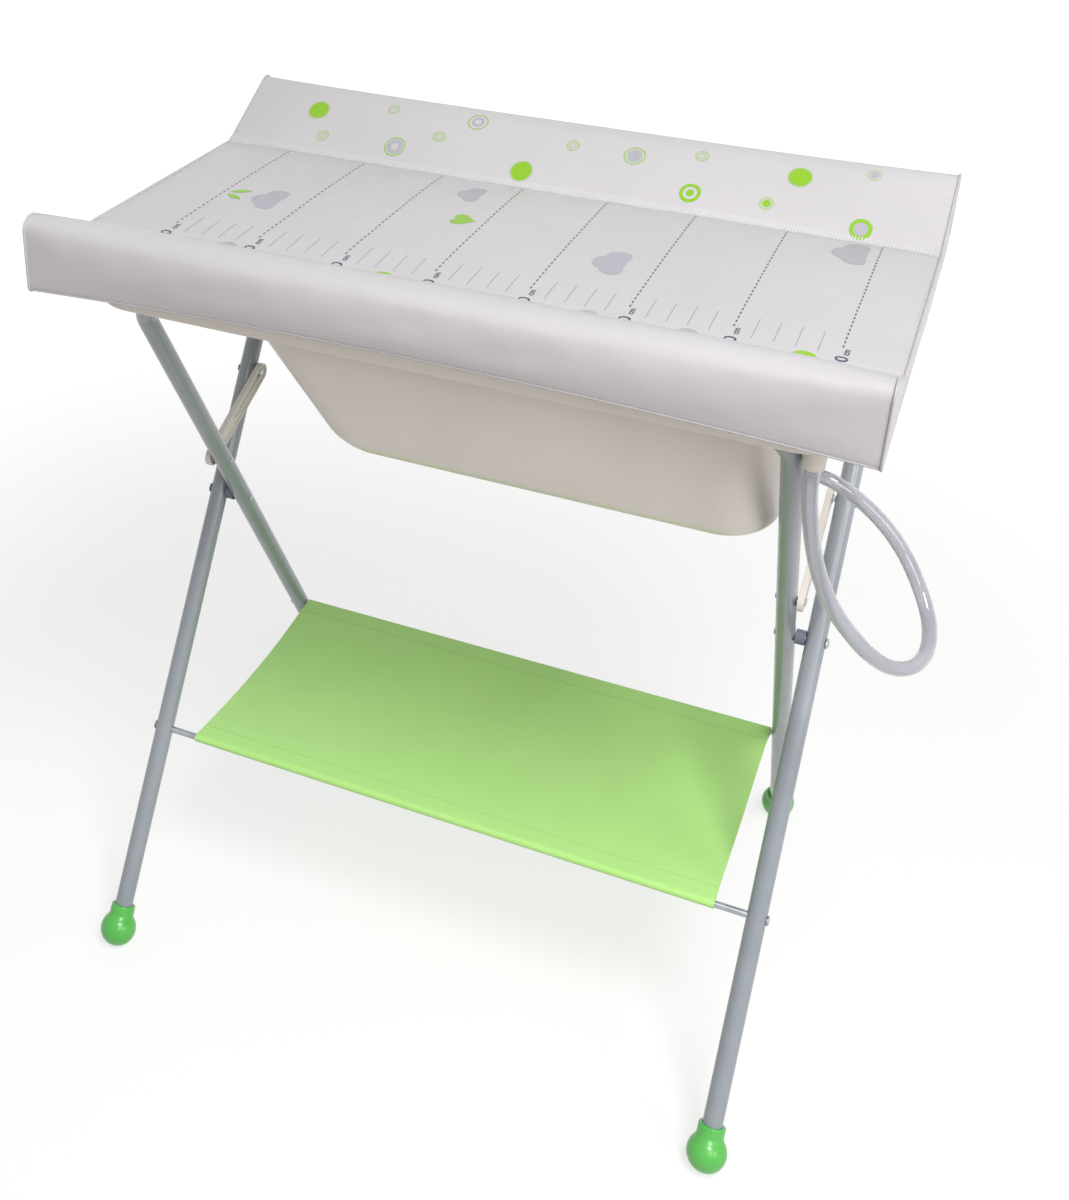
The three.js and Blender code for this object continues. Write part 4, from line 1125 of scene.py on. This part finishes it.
def stage_material():
    """Seen near white, with the shadow kept, it lights the table as grey paper does."""
    material = bpy.data.materials.new("floor_paper")
    material.use_nodes = True
    tree = material.node_tree
    tree.nodes.clear()
    add, link = tree.nodes.new, tree.links.new
    grain = filled(add("ShaderNodeTexNoise"), Scale=3)
    tone = filled(add("ShaderNodeMapRange"), To_Min=0.30, To_Max=0.32)
    paper = add("ShaderNodeBsdfDiffuse")
    link(grain.outputs["Fac"], tone.inputs["Value"])
    link(tone.outputs["Result"], paper.inputs["Color"])
    place, away = add("ShaderNodeNewGeometry"), add("ShaderNodeVectorMath")
    fade, glow = add("ShaderNodeMapRange"), add("ShaderNodeEmission")
    away.operation, fade.interpolation_type = "LENGTH", "SMOOTHSTEP"
    filled(fade, From_Min=0.8, From_Max=2.6, To_Min=0.72, To_Max=0.98)
    link(place.outputs["Position"], away.inputs[0])
    link(away.outputs["Value"], fade.inputs["Value"])
    link(fade.outputs["Result"], glow.inputs["Strength"])
    white = add("ShaderNodeAddShader")
    grey = filled(add("ShaderNodeBsdfDiffuse"), Color=(0.57, 0.53, 0.51, 1))
    link(paper.outputs[0], white.inputs[0])
    link(glow.outputs[0], white.inputs[1])
    two_faced(tree, "ShaderNodeOutputMaterial", grey.outputs[0], white.outputs[0])
    return material


FLOOR_HALF, FLOOR_Z = 9000, -0.4
floor = raw("floor", [(x * FLOOR_HALF, y * FLOOR_HALF, FLOOR_Z)
                      for x, y in ((-1, -1), (1, -1), (1, 1), (-1, 1))], [(0, 1, 2, 3)])
floor.data.materials.append(stage_material())

world = bpy.data.worlds.new("studio")
scene.world = world
world.use_nodes = True
world.node_tree.nodes.clear()
light, white = (world.node_tree.nodes.new("ShaderNodeBackground") for _ in range(2))
filled(light, Color=(1, 0.99, 0.985, 1), Strength=0.36)
filled(white, Color=(1, 1, 1, 1), Strength=1)
two_faced(world.node_tree, "ShaderNodeOutputWorld", light.outputs[0], white.outputs[0])


def lamp(name, place, aim, size, power, tint):
    """A round lamp, its place, aim and size in metres."""
    data = bpy.data.lights.new(name, "AREA")
    data.shape, data.size, data.energy, data.color = "DISK", size, power, tint
    made = placed(name, data)
    made.location = place
    made.rotation_euler = (Vector(aim) - Vector(place)).to_track_quat("-Z", "Y").to_euler()


WARM = (1, 0.96, 0.94)
lamp("main", (1.2, -1.2, 3.2), aim=(0, 0, 0.6), size=1.2, power=62, tint=(1, 0.995, 1))
lamp("window", (1.7, -2.3, 2.3), aim=(0.15, -0.05, 0.4), size=1.2, power=20, tint=WARM)
lamp("side", (2.4, -1.2, 1.3), aim=(0.15, -0.05, 0.3), size=1.0, power=10, tint=WARM)
